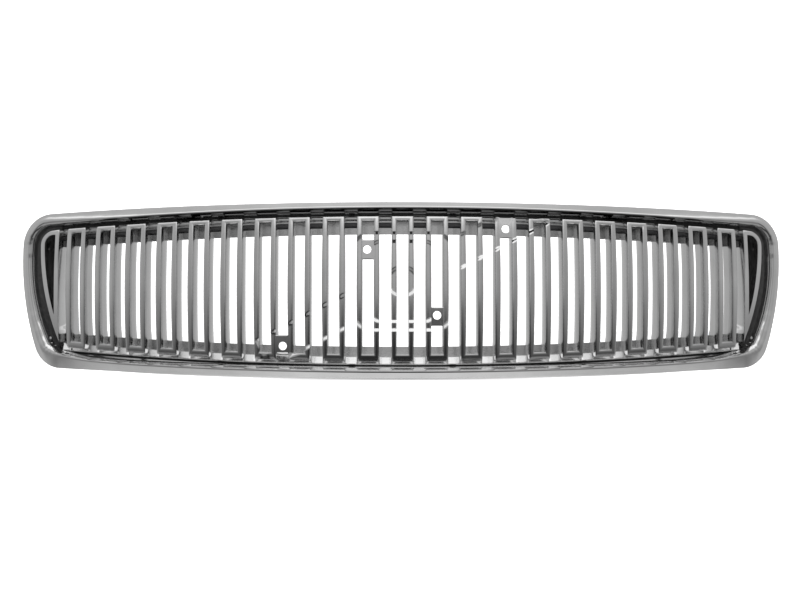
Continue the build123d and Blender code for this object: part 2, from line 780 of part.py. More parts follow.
EMBLEM_TABS = [
    ("badge_tab_upper", (-33.8, 38.6), opening_sides(10), (28.8, 48.0), -INNER_SWELL, 2 * SEAT_STEP),
    ("badge_tab_lower", (32.8, -24.2), opening_sides(12), (-34.4, -16.4), -INNER_SWELL, 2 * SEAT_STEP),
    ("strip_tab_lower", (-114.6, -53.5), gap_sides(7), (-60.3, -43.0), -OUTER_SWELL, STRIP_STEP),
    ("strip_tab_upper", (98.8, 58.4), opening_sides(14), (49.3, 66.0), -INNER_SWELL, STRIP_STEP),
]
for tab_name, hole, sides, heights, swell, depth in EMBLEM_TABS:
    tab = emblem_tab(hole, *sides, *heights, (swell, swell), depth)
    label_and_export(tab, tab_name)


# ---------------------------------------------------------------- fixings
with BuildPart() as rail_screws:
    for x, z, _ in screw_spots():
        head_plane = front_plane(screw_seat_depth(x))
        with BuildSketch(head_plane):
            with Locations((x, z)):
                Circle(SCREW_HEAD_RADIUS)
        extrude(amount=-SCREW_HEAD_HEIGHT)
        with BuildSketch(head_plane):
            with Locations((x, z)):
                Circle(SCREW_RADIUS)
        extrude(amount=SCREW_LENGTH)
        with BuildSketch(front_plane(screw_seat_depth(x) + SCREW_HEAD_HEIGHT)):
            with Locations((x, z)):
                Rectangle(3.6, 0.9)
                Rectangle(0.9, 3.6)
        extrude(amount=1.2, mode=Mode.SUBTRACT)

label_and_export(rail_screws.part, "rail_screws")


def turn_stud(sign):
    """A quarter-turn stud standing in an ear: head on top, wings at the foot."""
    x, y = sign * EAR_X, y_at(EAR_X, EAR_AXIS_DEPTH)
    grip_length, grip_width, grip_height = STUD_GRIP
    wing_length, wing_width, wing_height = STUD_WING
    with BuildPart() as stud:
        with BuildSketch(Plane.XY.offset(EAR_TOP_Z + STUD_FLOAT)):
            with Locations((x, y)):
                Circle(STUD_HEAD_RADIUS)
        extrude(amount=STUD_HEAD_HEIGHT)
        with BuildSketch(Plane.XY.offset(EAR_TOP_Z + STUD_FLOAT + STUD_HEAD_HEIGHT)):
            with Locations((x, y)):
                SlotOverall(grip_length, grip_width)
        extrude(amount=grip_height)
        with BuildSketch(Plane.XY.offset(EAR_TOP_Z + STUD_FLOAT)):
            with Locations((x, y)):
                Circle(STUD_RADIUS)
        extrude(amount=-(STUD_LENGTH + STUD_FLOAT))
        with BuildSketch(Plane.XY.offset(EAR_TOP_Z - STUD_LENGTH)):
            with Locations((x, y)):
                SlotOverall(wing_length, wing_width)
        extrude(amount=wing_height)
    return stud.part


def stud_ring(sign):
    """A push-on ring that keeps the stud in its ear."""
    x, y = sign * EAR_X, y_at(EAR_X, EAR_AXIS_DEPTH)
    with BuildPart() as ring:
        with BuildSketch(Plane.XY.offset(EAR_TOP_Z - EAR_THICKNESS - STUD_FLOAT)):
            with Locations((x, y)):
                Circle(RING_RADIUS)
                Circle(STUD_RADIUS, mode=Mode.SUBTRACT)
        extrude(amount=-RING_THICKNESS)
    return ring.part


for side_name, side_sign in (("left", -1), ("right", 1)):
    label_and_export(turn_stud(side_sign), f"turn_stud_{side_name}")
    label_and_export(stud_ring(side_sign), f"stud_ring_{side_name}")
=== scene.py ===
from math import asin, atan2, cos, hypot, pi, radians, sin, sqrt

import bpy
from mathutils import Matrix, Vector


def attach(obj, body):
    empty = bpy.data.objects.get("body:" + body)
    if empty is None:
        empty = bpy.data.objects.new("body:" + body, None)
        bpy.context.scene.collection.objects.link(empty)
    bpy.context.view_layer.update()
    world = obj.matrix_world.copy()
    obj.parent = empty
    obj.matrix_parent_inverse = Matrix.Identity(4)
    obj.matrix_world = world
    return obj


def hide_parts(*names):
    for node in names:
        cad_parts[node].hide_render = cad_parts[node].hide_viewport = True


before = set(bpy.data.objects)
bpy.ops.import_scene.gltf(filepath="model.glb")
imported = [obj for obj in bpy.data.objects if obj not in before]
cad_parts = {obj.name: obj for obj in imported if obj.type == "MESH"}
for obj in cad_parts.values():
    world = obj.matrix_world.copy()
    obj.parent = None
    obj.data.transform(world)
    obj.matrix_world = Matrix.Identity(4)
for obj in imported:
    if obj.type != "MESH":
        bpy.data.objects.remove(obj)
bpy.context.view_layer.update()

MM = 0.001

# ---------------------------------------------------------------- the part's driving dimensions, mm
BOW_RADIUS = 948.0
ORIGIN_DEPTH = 60.93
TOP_EDGE_Z, TOP_EDGE_RADIUS = 84.2, 10000.0
BOTTOM_EDGE_Z, BOTTOM_EDGE_RADIUS = -84.2, 8000.0
SIDE_CENTRE = (118.9, 31.0)
SIDE_RADIUS = 266.0
TOP_CORNER_RADIUS, BOTTOM_CORNER_RADIUS = 33.0, 30.0
SURROUND_WALL = 2.5
OUTER_EDGE_DEPTH, OUTER_FLANGE_END, INNER_WALL_END = 9.0, 27.0, 20.0

LOOP_COUNT, LOOP_PITCH, LOOP_WIDTH = 21, 33.0, 20.5
LOOP_TOP_Z, LOOP_TOP_RADIUS = 70.7, 6360.0
LOOP_BOTTOM_Z, LOOP_BOTTOM_RADIUS = -68.2, 4560.0
LOOP_MIDDLE_Z = (LOOP_TOP_Z + LOOP_BOTTOM_Z) / 2
LOOP_HALF_HEIGHT = (LOOP_TOP_Z - LOOP_BOTTOM_Z) / 2
LOOP_FRONT_DEPTH, LOOP_BULGE, LOOP_DEPTH, LOOP_FOOT = 6.0, 8.5, 34.0, 15.0
BAR_WIDTH, OUTER_SWELL, INNER_SWELL, TOP_BAR, BOTTOM_BAR = 4.3, 0.7, 0.5, 3.8, 6.2

RAIL_DEPTH = LOOP_FRONT_DEPTH + LOOP_DEPTH
RAIL_WALL, RAIL_HEIGHT, RAIL_HALF_WIDTH = 2.5, 15.7, 349.0
LINK_HEIGHT, SKIRT, SEAM = 5.2, 3.7, 0.15

END_INNER_X = 342.0
END_SIDE_CENTRE, END_SIDE_RADIUS = (82.25, 54.2), 280.0
END_BAR_WIDTH, END_CORNER_RADIUS, END_TOP_SLOPE = 4.6, 14.0, -0.094

SEAT_CENTRE = (0.0, 8.0)
STRIP_ANGLE, STRIP_WIDTH, STRIP_LENGTH = radians(27.4), 28.2, 300.0
BADGE_HALF_WIDTH, BADGE_HALF_HEIGHT, BADGE_CORNER = 47.5, 46.2, 18.0
POCKET_HALF_WIDTH, POCKET_HALF_HEIGHT, POCKET_CORNER = 31.0, 38.1, 10.0
HUB_RADIUS = 13.9
SEAT_STEP = 2.4             # depth of each step of the emblem seat
SEAT_SLOPE = 0.85           # depth gained per mm across a step


def bow(x):
    return BOW_RADIUS - sqrt(BOW_RADIUS**2 - x**2)


def loop_top(x):
    return LOOP_TOP_Z - x**2 / (2 * LOOP_TOP_RADIUS)


def loop_bottom(x):
    return LOOP_BOTTOM_Z + x**2 / (2 * LOOP_BOTTOM_RADIUS)


def loop_x(number):
    return BOW_RADIUS * sin((number - (LOOP_COUNT + 1) / 2) * LOOP_PITCH / BOW_RADIUS)


def half_width_at(x):
    return LOOP_WIDTH / 2 * sqrt(1 - (x / BOW_RADIUS) ** 2)


# ---------------------------------------------------------------- mesh helpers
def make_piece(name, verts, faces, sharp=35):
    """A mesh piece from points in mm, smooth but for edges sharper than this angle."""
    mesh = bpy.data.meshes.new(name)
    mesh.from_pydata([(x * MM, y * MM, z * MM) for x, y, z in verts], [], faces)
    mesh.validate()
    mesh.shade_smooth()
    mesh.set_sharp_from_angle(angle=radians(sharp))
    piece = bpy.data.objects.new(name, mesh)
    bpy.context.scene.collection.objects.link(piece)
    return piece


def swept_ring(profiles, closed=True):
    """Points and faces of a closed profile carried round a closed ring (or along an open run)."""
    size = len(profiles[0])
    verts = [point for profile in profiles for point in profile]
    faces = []
    runs = len(profiles) if closed else len(profiles) - 1
    for i in range(runs):
        a, b = i * size, (i + 1) % len(profiles) * size
        for j in range(size):
            k = (j + 1) % size
            faces.append((a + j, a + k, b + k, b + j))
    if not closed:
        faces.append(tuple(range(size))[::-1])
        faces.append(tuple(range(len(verts) - size, len(verts))))
    return verts, faces


def joined(parts):
    """Several (points, faces) lists as one."""
    verts, faces = [], []
    for part_verts, part_faces in parts:
        start = len(verts)
        verts += part_verts
        faces += [tuple(start + i for i in face) for face in part_faces]
    return verts, faces


# ---------------------------------------------------------------- materials
def new_material(name):
    material = bpy.data.materials.new(name)
    material.use_nodes = True
    tree = material.node_tree
    shader = tree.nodes["Principled BSDF"]
    return material, tree, shader


def noise(tree, scale, detail=3.0, stretch=(1, 1, 1)):
    place = tree.nodes.new("ShaderNodeTexCoord")
    mapping = tree.nodes.new("ShaderNodeMapping")
    mapping.inputs["Scale"].default_value = stretch
    texture = tree.nodes.new("ShaderNodeTexNoise")
    texture.inputs["Scale"].default_value = scale
    texture.inputs["Detail"].default_value = detail
    tree.links.new(place.outputs["Object"], mapping.inputs["Vector"])
    tree.links.new(mapping.outputs["Vector"], texture.inputs["Vector"])
    return texture.outputs["Fac"]


def ramp(tree, value, stops):
    node = tree.nodes.new("ShaderNodeValToRGB")
    elements = node.color_ramp.elements
    while len(elements) < len(stops):
        elements.new(1.0)
    for element, (at, level) in zip(elements, stops):
        element.position = at
        element.color = (*level, 1) if isinstance(level, tuple) else (level, level, level, 1)
    tree.links.new(value, node.inputs["Fac"])
    return node.outputs["Color"]


def multiplied(tree, first, second):
    """One colour multiplied by another."""
    node = tree.nodes.new("ShaderNodeMix")
    node.data_type, node.blend_type = "RGBA", "MULTIPLY"
    node.inputs[0].default_value = 1.0
    tree.links.new(first, node.inputs[6])
    tree.links.new(second, node.inputs[7])
    return node.outputs[2]


def roughened(tree, shader, height, strength, distance):
    """A bump on the shader's normal."""
    bump = tree.nodes.new("ShaderNodeBump")
    bump.inputs["Strength"].default_value = strength
    bump.inputs["Distance"].default_value = distance
    tree.links.new(height, bump.inputs["Height"])
    tree.links.new(bump.outputs["Normal"], shader.inputs["Normal"])


def plated(name, colour, rough, wave, streak=0.0, shaded=False):
    """Bright plating: cloudy colour and roughness, faint waviness, fine wipe marks.

    A shaded one is darkened by the painted shade in the mesh's "shade" attribute.
    """
    material, tree, shader = new_material(name)
    shader.inputs["Metallic"].default_value = 1.0
    shader.inputs["Specular IOR Level"].default_value = 0.5
    clouds = noise(tree, 38, 4)
    dark = tuple(c * 0.93 for c in colour)
    tint = ramp(tree, clouds, [(0.35, dark), (0.62, colour)])
    if shaded:
        shade = tree.nodes.new("ShaderNodeAttribute")
        shade.attribute_name = "shade"
        tint = multiplied(tree, tint, shade.outputs["Color"])
    tree.links.new(tint, shader.inputs["Base Color"])
    wipe = noise(tree, 220, 2, (0.35, 1, 1.6))
    tree.links.new(
        ramp(tree, wipe, [(0.3, rough), (0.75, rough + streak)]), shader.inputs["Roughness"]
    )
    roughened(tree, shader, noise(tree, 55, 2), wave, 0.0006)
    return material


def moulded(name, colour, rough, grain):
    """Black moulded plastic with a fine grain."""
    material, tree, shader = new_material(name)
    spots = noise(tree, 900, 3)
    lighter = tuple(c * 1.5 for c in colour)
    tree.links.new(ramp(tree, spots, [(0.3, colour), (0.8, lighter)]), shader.inputs["Base Color"])
    tree.links.new(ramp(tree, spots, [(0.2, rough), (0.8, rough + 0.15)]), shader.inputs["Roughness"])
    roughened(tree, shader, spots, grain, 0.0002)
    return material


TOP_MARGIN, END_MARGIN = 2.0, 0.5
# The black strip under the skirt is painted shadow of the gap between the insert and the surround
SKIRT_SHADOW_BAND = (0.3, 3.2)     # the black strip under the skirt, from its lower edge


def rimmed(name, chrome, moulding, end_tone):
    """Plating within the slats' outline, black moulding on the rim flange, and a black strip under the
    skirt painted as the shadow of the gap there.

    The plating's painted tone falls to end_tone towards the left and right ends, for the
    darker reflections there in the photo.
    """
    material, tree, shader = new_material(name)
    place = tree.nodes.new("ShaderNodeTexCoord")
    split = tree.nodes.new("ShaderNodeSeparateXYZ")
    tree.links.new(place.outputs["Object"], split.inputs[0])

    def maths(operation, first, second):
        node = tree.nodes.new("ShaderNodeMath")
        node.operation = operation
        for socket, value in zip(node.inputs, (first, second)):
            if isinstance(value, float):
                socket.default_value = value
            else:
                tree.links.new(value, socket)
        return node.outputs[0]

    squared = maths("MULTIPLY", split.outputs["X"], split.outputs["X"])
    drop = maths("MULTIPLY", squared, 0.5 / (LOOP_TOP_RADIUS * MM))
    lift = maths("MULTIPLY", squared, 0.5 / (LOOP_BOTTOM_RADIUS * MM))
    top = maths("ADD", split.outputs["Z"], drop)
    low = maths("SUBTRACT", split.outputs["Z"], lift)
    above = maths("GREATER_THAN", top, (LOOP_TOP_Z - TOP_MARGIN) * MM)
    # The black strip under the skirt, a painted shadow
    below = maths(
        "MULTIPLY", maths("LESS_THAN", low, (LOOP_BOTTOM_Z - SKIRT - SKIRT_SHADOW_BAND[0]) * MM),
        maths("GREATER_THAN", low, (LOOP_BOTTOM_Z - SKIRT - SKIRT_SHADOW_BAND[1]) * MM),
    )
    sideways = maths("ABSOLUTE", split.outputs["X"], 0.0)
    beyond = maths("GREATER_THAN", sideways, (END_INNER_X + END_MARGIN) * MM)
    mask = maths("MAXIMUM", maths("MAXIMUM", above, below), beyond)
    colour, tone = tree.nodes.new("ShaderNodeMix"), noise(tree, 300, 3)
    colour.data_type = "RGBA"
    tree.links.new(mask, colour.inputs[0])
    fade = ramp(tree, sideways, [(0.09, 1.0), (0.22, (1 + end_tone) / 2), (0.34, end_tone)])
    plating = ramp(tree, tone, [(0.35, chrome * 0.93), (0.62, chrome)])
    tree.links.new(multiplied(tree, plating, fade), colour.inputs[6])
    tree.links.new(ramp(tree, tone, [(0.35, moulding), (0.7, moulding * 1.6)]), colour.inputs[7])
    tree.links.new(colour.outputs[2], shader.inputs["Base Color"])
    tree.links.new(maths("SUBTRACT", 1.0, mask), shader.inputs["Metallic"])
    tree.links.new(maths("ADD", maths("MULTIPLY", mask, 0.32), 0.14), shader.inputs["Roughness"])
    roughened(tree, shader, tone, 0.08, 0.0004)
    return material


SURROUND_CHROME = plated("surround_chrome", (0.88, 0.88, 0.88), 0.09, 0.05, 0.05, shaded=True)
INSERT_CHROME = plated("insert_chrome", (0.86, 0.86, 0.86), 0.13, 0.06, 0.05)
SCREW_STEEL = plated("screw_steel", (0.45, 0.45, 0.47), 0.32, 0.2, 0.2)
RING_STEEL = plated("ring_steel", (0.36, 0.35, 0.33), 0.38, 0.2, 0.2)
# One plating and one moulding on all rims, toned per rim as painted light and shade: the lower rim's
# plating is brighter and fades less towards the ends, the end flanges' plating is dimmer and their
# moulding lighter
INSERT_RIM = rimmed("insert_rim", 0.86, 0.012, 0.22)
LOWER_RIM = rimmed("lower_rim", 0.95, 0.012, 0.8)
END_RIM = rimmed("end_rim", 0.5, 0.045, 1.0)
STUD_PLASTIC = moulded("stud_plastic", (0.02, 0.02, 0.022), 0.42, 0.3)


def dress(piece, material):
    piece.data.materials.clear()
    piece.data.materials.append(material)


# ---------------------------------------------------------------- surround
def crossing(centre_a, radius_a, centre_b, radius_b, side):
    (ax, az), (bx, bz) = centre_a, centre_b
    distance = hypot(bx - ax, bz - az)
    along_line = (radius_a**2 - radius_b**2 + distance**2) / (2 * distance)
    across = side * sqrt(radius_a**2 - along_line**2)
    ux, uz = (bx - ax) / distance, (bz - az) / distance
    return ax + along_line * ux - across * uz, az + along_line * uz + across * ux


def outline_arcs():
    """The right half of the outer edge, top to bottom: (centre, radius, first and last normal)."""
    top = (0.0, TOP_EDGE_Z - TOP_EDGE_RADIUS)
    bottom = (0.0, BOTTOM_EDGE_Z + BOTTOM_EDGE_RADIUS)
    upper = crossing(
        top, TOP_EDGE_RADIUS - TOP_CORNER_RADIUS, SIDE_CENTRE, SIDE_RADIUS - TOP_CORNER_RADIUS, -1
    )
    lower = crossing(
        bottom, BOTTOM_EDGE_RADIUS - BOTTOM_CORNER_RADIUS,
        SIDE_CENTRE, SIDE_RADIUS - BOTTOM_CORNER_RADIUS, 1,
    )
    turns = [pi / 2]
    for centre, other in ((top, upper), (SIDE_CENTRE, upper), (SIDE_CENTRE, lower), (bottom, lower)):
        turns.append(atan2(other[1] - centre[1], other[0] - centre[0]))
    turns.append(-pi / 2)
    circles = [
        (top, TOP_EDGE_RADIUS), (upper, TOP_CORNER_RADIUS), (SIDE_CENTRE, SIDE_RADIUS),
        (lower, BOTTOM_CORNER_RADIUS), (bottom, BOTTOM_EDGE_RADIUS),
    ]
    return [(c, r, turns[i], turns[i + 1]) for i, (c, r) in enumerate(circles)]


ARCS = outline_arcs()
ARC_LENGTHS = [radius * (first - last) for _, radius, first, last in ARCS]


def along(arc, share):
    return sum(ARC_LENGTHS[:arc]) + share * ARC_LENGTHS[arc]


RIDGE_INSET = [
    (along(0, 0), 4.9), (along(0, 0.35), 5.6), (along(0, 0.67), 7.2), (along(0, 1), 8.8),
    (along(1, 0.6), 9.2), (along(2, 0.3), 11.0), (along(2, 1), 13.6), (along(3, 0.6), 14.2),
    (along(4, 0.1), 9.0), (along(4, 0.35), 6.8), (along(4, 0.6), 6.0), (along(4, 1), 5.8),
]
WALL_INSET = [
    (along(0, 0), 10.9), (along(0, 0.5), 11.2), (along(0, 1), 12.9), (along(1, 0.6), 13.6),
    (along(2, 0.35), 13.4), (along(2, 0.7), 15.2), (along(2, 1), 18.4), (along(3, 0.5), 20.6),
    (along(4, 0.1), 13.2), (along(4, 0.5), 11.2), (along(4, 1), 10.7),
]


# The outer face is nearly flat along the runs and bulges at the ends
FACE_BULGE = [
    (along(0, 0), 0.01), (along(0, 0.8), 0.02), (along(1, 0.6), 0.10), (along(2, 1), 0.10),
    (along(3, 0.6), 0.02), (along(4, 0.3), 0.01), (along(4, 1), 0.01),
]


def smooth_through(knots, s):
    slopes = [0.0]
    for before, after in zip(knots[:-2], knots[2:]):
        slopes.append((after[1] - before[1]) / (after[0] - before[0]))
    slopes.append(0.0)
    for i, (left, right) in enumerate(zip(knots[:-1], knots[1:])):
        if s <= right[0] or i == len(knots) - 2:
            span = right[0] - left[0]
            t = (s - left[0]) / span
            return (
                left[1] * (1 + 2 * t) * (1 - t) ** 2 + slopes[i] * span * t * (1 - t) ** 2
                + right[1] * t * t * (3 - 2 * t) + slopes[i + 1] * span * t * t * (t - 1)
            )
    return knots[-1][1]


def arc_through(start, middle, end, steps):
    """Points on the parabola that starts, passes half-way and ends at three points."""
    points = []
    bulge = (middle[0] - (start[0] + end[0]) / 2, middle[1] - (start[1] + end[1]) / 2)
    for i in range(steps + 1):
        t = i / steps
        lift = 4 * t * (1 - t)
        points.append((
            start[0] + (end[0] - start[0]) * t + bulge[0] * lift,
            start[1] + (end[1] - start[1]) * t + bulge[1] * lift,
        ))
    return points


WALL_CURVE = 0.30           # under 1, the inner wall turns over softly behind the ridge
WALL_SPACING = 1.6          # over 1, the wall's points crowd towards the ridge
FACE_STEPS, RIDGE_STEPS, WALL_STEPS = 10, 6, 14
LIP = 0.3                   # rounding of the rear edge
# Reach of the ridge's rounding: crisp in the middle, soft towards the ends
RIDGE_ROUND = [
    (along(0, 0), 0.4), (along(0, 0.45), 0.5), (along(0, 0.8), 1.5), (along(1, 0.4), 6.5),
    (along(2, 0.5), 9.5), (along(3, 0.2), 6.0), (along(3, 0.9), 1.5), (along(4, 0.2), 0.6),
    (along(4, 1), 0.4),
]


def resampled(points, count):
    """The same polyline with this many points, evenly spaced."""
    lengths = [0.0]
    for before, after in zip(points[:-1], points[1:]):
        lengths.append(lengths[-1] + hypot(after[0] - before[0], after[1] - before[1]))
    spots = []
    for i in range(count):
        goal = lengths[-1] * i / (count - 1)
        k = max(j for j in range(len(points) - 1) if lengths[j] <= goal + 1e-9)
        share = (goal - lengths[k]) / (lengths[k + 1] - lengths[k])
        spots.append(tuple(points[k][n] + (points[k + 1][n] - points[k][n]) * share for n in (0, 1)))
    return spots


# How far the rear edge flares out under the bottom run
REAR_FLARE = [
    (along(0, 0), 0.0), (along(3, 0.8), 0.0), (along(4, 0.3), 1.6), (along(4, 0.75), 2.2),
    (along(4, 1), 3.4),
]
# Painted tones, 1 where the plating is bright. They stand for dark reflections in the photo,
# and the real plating is presumably even. First, on the upper run's inner wall
WALL_SHADE = [
    (along(0, 0), 0.07), (along(0, 0.6), 0.09), (along(0, 0.9), 0.4), (along(1, 0.5), 0.8),
    (along(2, 0.1), 1.0), (along(4, 1), 1.0),
]
# and on the rear lip under the middle
LIP_SHADE = [
    (along(0, 0), 1.0), (along(4, 0.6), 1.0), (along(4, 0.84), 0.5), (along(4, 0.9), 0.03),
    (along(4, 1), 0.03),
]


def surround_profile(arc, share):
    """The surround's section as (inset, depth) points, outer edge first."""
    ridge = smooth_through(RIDGE_INSET, along(arc, share))
    wall = smooth_through(WALL_INSET, along(arc, share))
    reach = smooth_through(RIDGE_ROUND, along(arc, share))
    flare = smooth_through(REAR_FLARE, along(arc, share))
    bulge = smooth_through(FACE_BULGE, along(arc, share))
    middle = (ridge / 2 - bulge * OUTER_EDGE_DEPTH, OUTER_EDGE_DEPTH / 2 - bulge * ridge)
    face = arc_through((0.0, OUTER_EDGE_DEPTH), middle, (ridge, 0.0), 12)
    face = [p for p in face if hypot(p[0] - ridge, p[1]) > reach]
    inner = []
    for i in range(1, WALL_STEPS + 1):
        t = (i / WALL_STEPS) ** WALL_SPACING
        inner.append((ridge + (wall - ridge) * t**WALL_CURVE, INNER_WALL_END * t))
    inner = [p for p in inner if hypot(p[0] - ridge, p[1]) > reach]
    points = [(0, OUTER_EDGE_DEPTH + 0.4)] + resampled(face, FACE_STEPS)
    start, crest, end = points[-1], (ridge, -0.1 * reach), inner[0]
    for i in range(1, RIDGE_STEPS):
        t = i / RIDGE_STEPS
        points.append(tuple(
            start[k] * (1 - t) ** 2 + 2 * crest[k] * t * (1 - t) + end[k] * t**2 for k in (0, 1)
        ))
    points += resampled(inner, WALL_STEPS)
    points += [
        (wall - 0.3, INNER_WALL_END + 0.5),
        (wall - SURROUND_WALL, INNER_WALL_END),
        (ridge - SURROUND_WALL / 6, SURROUND_WALL * 1.4),
        (SURROUND_WALL, OUTER_EDGE_DEPTH + SURROUND_WALL / 2),
        (SURROUND_WALL - flare, OUTER_FLANGE_END - LIP),
        (SURROUND_WALL - LIP - flare, OUTER_FLANGE_END),
        (LIP - flare, OUTER_FLANGE_END),
        (-flare, OUTER_FLANGE_END - LIP),
    ]
    return points


def surround_station(arc, share, side):
    (cx, cz), radius, first, last = ARCS[arc]
    angle = first + (last - first) * share
    nx, nz = cos(angle), sin(angle)
    px, pz = cx + radius * nx, cz + radius * nz
    points = []
    for inset, depth in surround_profile(arc, share):
        x, z = px - nx * inset, pz - nz * inset
        points.append((side * x, bow(x) + depth - ORIGIN_DEPTH, z))
    return points


def station_shade(arc, share):
    """The painted shade at each point of a section, 1 where the plating is left bright."""
    inner_wall = smooth_through(WALL_SHADE, along(arc, share))
    lip = smooth_through(LIP_SHADE, along(arc, share))
    face_count = 1 + FACE_STEPS + RIDGE_STEPS - 1
    return [1.0] * face_count + [inner_wall] * (WALL_STEPS + 2) + [1.0] * 2 + [lip] * 4


STATION_COUNTS = (70, 26, 44, 26, 70)
right_half = []
for arc_index, count in enumerate(STATION_COUNTS):
    right_half += [(arc_index, step / count) for step in range(count)]
right_half.append((len(STATION_COUNTS) - 1, 1.0))
ring = [surround_station(a, s, 1) for a, s in right_half]
ring += [surround_station(a, s, -1) for a, s in right_half[-2:0:-1]]
surround_shade = []
for a, s in right_half + right_half[-2:0:-1]:
    surround_shade += station_shade(a, s)
surround_parts = [swept_ring(ring)]


# Bosses, ears and ribs on the surround's back
SCREW_X = (49.2, 179.3, 274.9)
BOSS_RADIUS, BOSS_START, LUG_INSET = 3.3, 16.0, 6.2
BOSS_HOLE_RADIUS, BOSS_HOLE_DEPTH, BOSS_SIDES = 1.75, 12.0, 28
EAR_X, EAR_HALF_WIDTH, EAR_TOP_Z, EAR_THICKNESS = 214.0, 14.0, 77.0, 3.0
EAR_AXIS_DEPTH, EAR_HOLE_RADIUS = 56.0, 4.05
EAR_ROOT, EAR_SHOULDER, EAR_ROUND = 12.0, 12.0, 0.5
RIB_HEIGHT_GAP, RIB_OVERLAP, RIB_REACH, RIB_HALF = 3, 1, 14, 1


def outer_edge_z(x, side):
    if side > 0:
        return TOP_EDGE_Z - TOP_EDGE_RADIUS + sqrt(TOP_EDGE_RADIUS**2 - x**2)
    return BOTTOM_EDGE_Z + BOTTOM_EDGE_RADIUS - sqrt(BOTTOM_EDGE_RADIUS**2 - x**2)


def screw_spots():
    spots = []
    for x in SCREW_X:
        for sign in (-1, 1):
            for side in (1, -1):
                spots.append((sign * x, outer_edge_z(x, side) - side * LUG_INSET, side))
    return spots


def tube(x, z, start, end, radius, inner, hole_depth):
    """A round boss along Y with a blind hole from its rear."""
    rows = [(0.0, start), (radius, start), (radius, end - 0.3), (radius - 0.3, end)]
    rows += [(inner, end), (inner, end - hole_depth), (0.0, end - hole_depth)]
    profiles = []
    for i in range(BOSS_SIDES):
        angle = 2 * pi * i / BOSS_SIDES
        profiles.append([(x + r * cos(angle), y, z + r * sin(angle)) for r, y in rows])
    verts, faces = swept_ring(profiles)
    return verts, faces


for x, z, _ in screw_spots():
    start = bow(x) + BOSS_START - ORIGIN_DEPTH
    end = bow(abs(x) - BOSS_RADIUS) + RAIL_DEPTH - ORIGIN_DEPTH
    surround_parts.append(tube(x, z, start, end, BOSS_RADIUS, BOSS_HOLE_RADIUS, BOSS_HOLE_DEPTH))


def ear(sign):
    """A rounded ear with a hole, as a ring between its outline and the hole."""
    x = sign * EAR_X
    axis_y = bow(EAR_X) + EAR_AXIS_DEPTH - ORIGIN_DEPTH
    front_y = bow(EAR_X) + OUTER_FLANGE_END - EAR_ROOT - ORIGIN_DEPTH
    edge = [(x + EAR_HALF_WIDTH * cos(a), axis_y + EAR_HALF_WIDTH * sin(a))
            for a in [pi * i / 24 for i in range(25)]]
    left, right, shoulder = x - EAR_HALF_WIDTH, x + EAR_HALF_WIDTH, axis_y - EAR_SHOULDER
    edge += [(left, shoulder), (left, front_y), (x, front_y), (right, front_y), (right, shoulder)]
    low, high = EAR_TOP_Z - EAR_THICKNESS, EAR_TOP_Z
    profiles = []
    for ex, ey in edge:
        angle = atan2(ey - axis_y, ex - x)
        hx, hy = x + EAR_HOLE_RADIUS * cos(angle), axis_y + EAR_HOLE_RADIUS * sin(angle)
        ix, iy = ex + (x - ex) * 0.03, ey + (axis_y - ey) * 0.03
        profiles.append([
            (ex, ey, low + EAR_ROUND), (ex, ey, high - EAR_ROUND), (ix, iy, high),
            (hx, hy, high), (hx, hy, low), (ix, iy, low),
        ])
    return swept_ring(profiles)


def prism(outline, x0, x1):
    """A flat outline in (y, z) with thickness along X."""
    count = len(outline)
    verts = [(x0, y, z) for y, z in outline] + [(x1, y, z) for y, z in outline]
    faces = [tuple(range(count)), tuple(range(count, 2 * count))[::-1]]
    for i in range(count):
        k = (i + 1) % count
        faces.append((i, i + count, k + count, k))
    return verts, faces


for sign in (-1, 1):
    surround_parts.append(ear(sign))
    rib_front = bow(EAR_X) + OUTER_FLANGE_END - EAR_ROOT - ORIGIN_DEPTH
    rib_back = bow(EAR_X) + OUTER_FLANGE_END - ORIGIN_DEPTH
    rib_outline = [
        (rib_front, EAR_TOP_Z - RIB_OVERLAP), (rib_front, TOP_EDGE_Z - RIB_HEIGHT_GAP),
        (rib_back, TOP_EDGE_Z - RIB_HEIGHT_GAP), (rib_back + RIB_REACH, EAR_TOP_Z - RIB_OVERLAP),
    ]
    for rib in (-1, 1):
        rib_x = sign * EAR_X + rib * (EAR_HALF_WIDTH - RIB_HALF)
        surround_parts.append(prism(rib_outline, rib_x - RIB_HALF, rib_x + RIB_HALF))

surround = make_piece("surround_shell", *joined(surround_parts), sharp=38)
# The painted shade of the surround's plating, one value per point
shade = surround.data.color_attributes.new("shade", "FLOAT_COLOR", "POINT")
surround_shade += [1.0] * (len(shade.data) - len(surround_shade))
for point, level in zip(shade.data, surround_shade):
    point.color = (level, level, level, 1)
dress(surround, SURROUND_CHROME)
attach(surround, "grille")
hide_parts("surround")


# ---------------------------------------------------------------- emblem seat
def rounded_box_distance(x, z, half_x, half_z, corner):
    """Signed distance to a rounded rectangle about the origin, negative inside."""
    qx, qz = abs(x) - half_x + corner, abs(z) - half_z + corner
    outside = hypot(max(qx, 0), max(qz, 0))
    return outside + min(max(qx, qz), 0) - corner


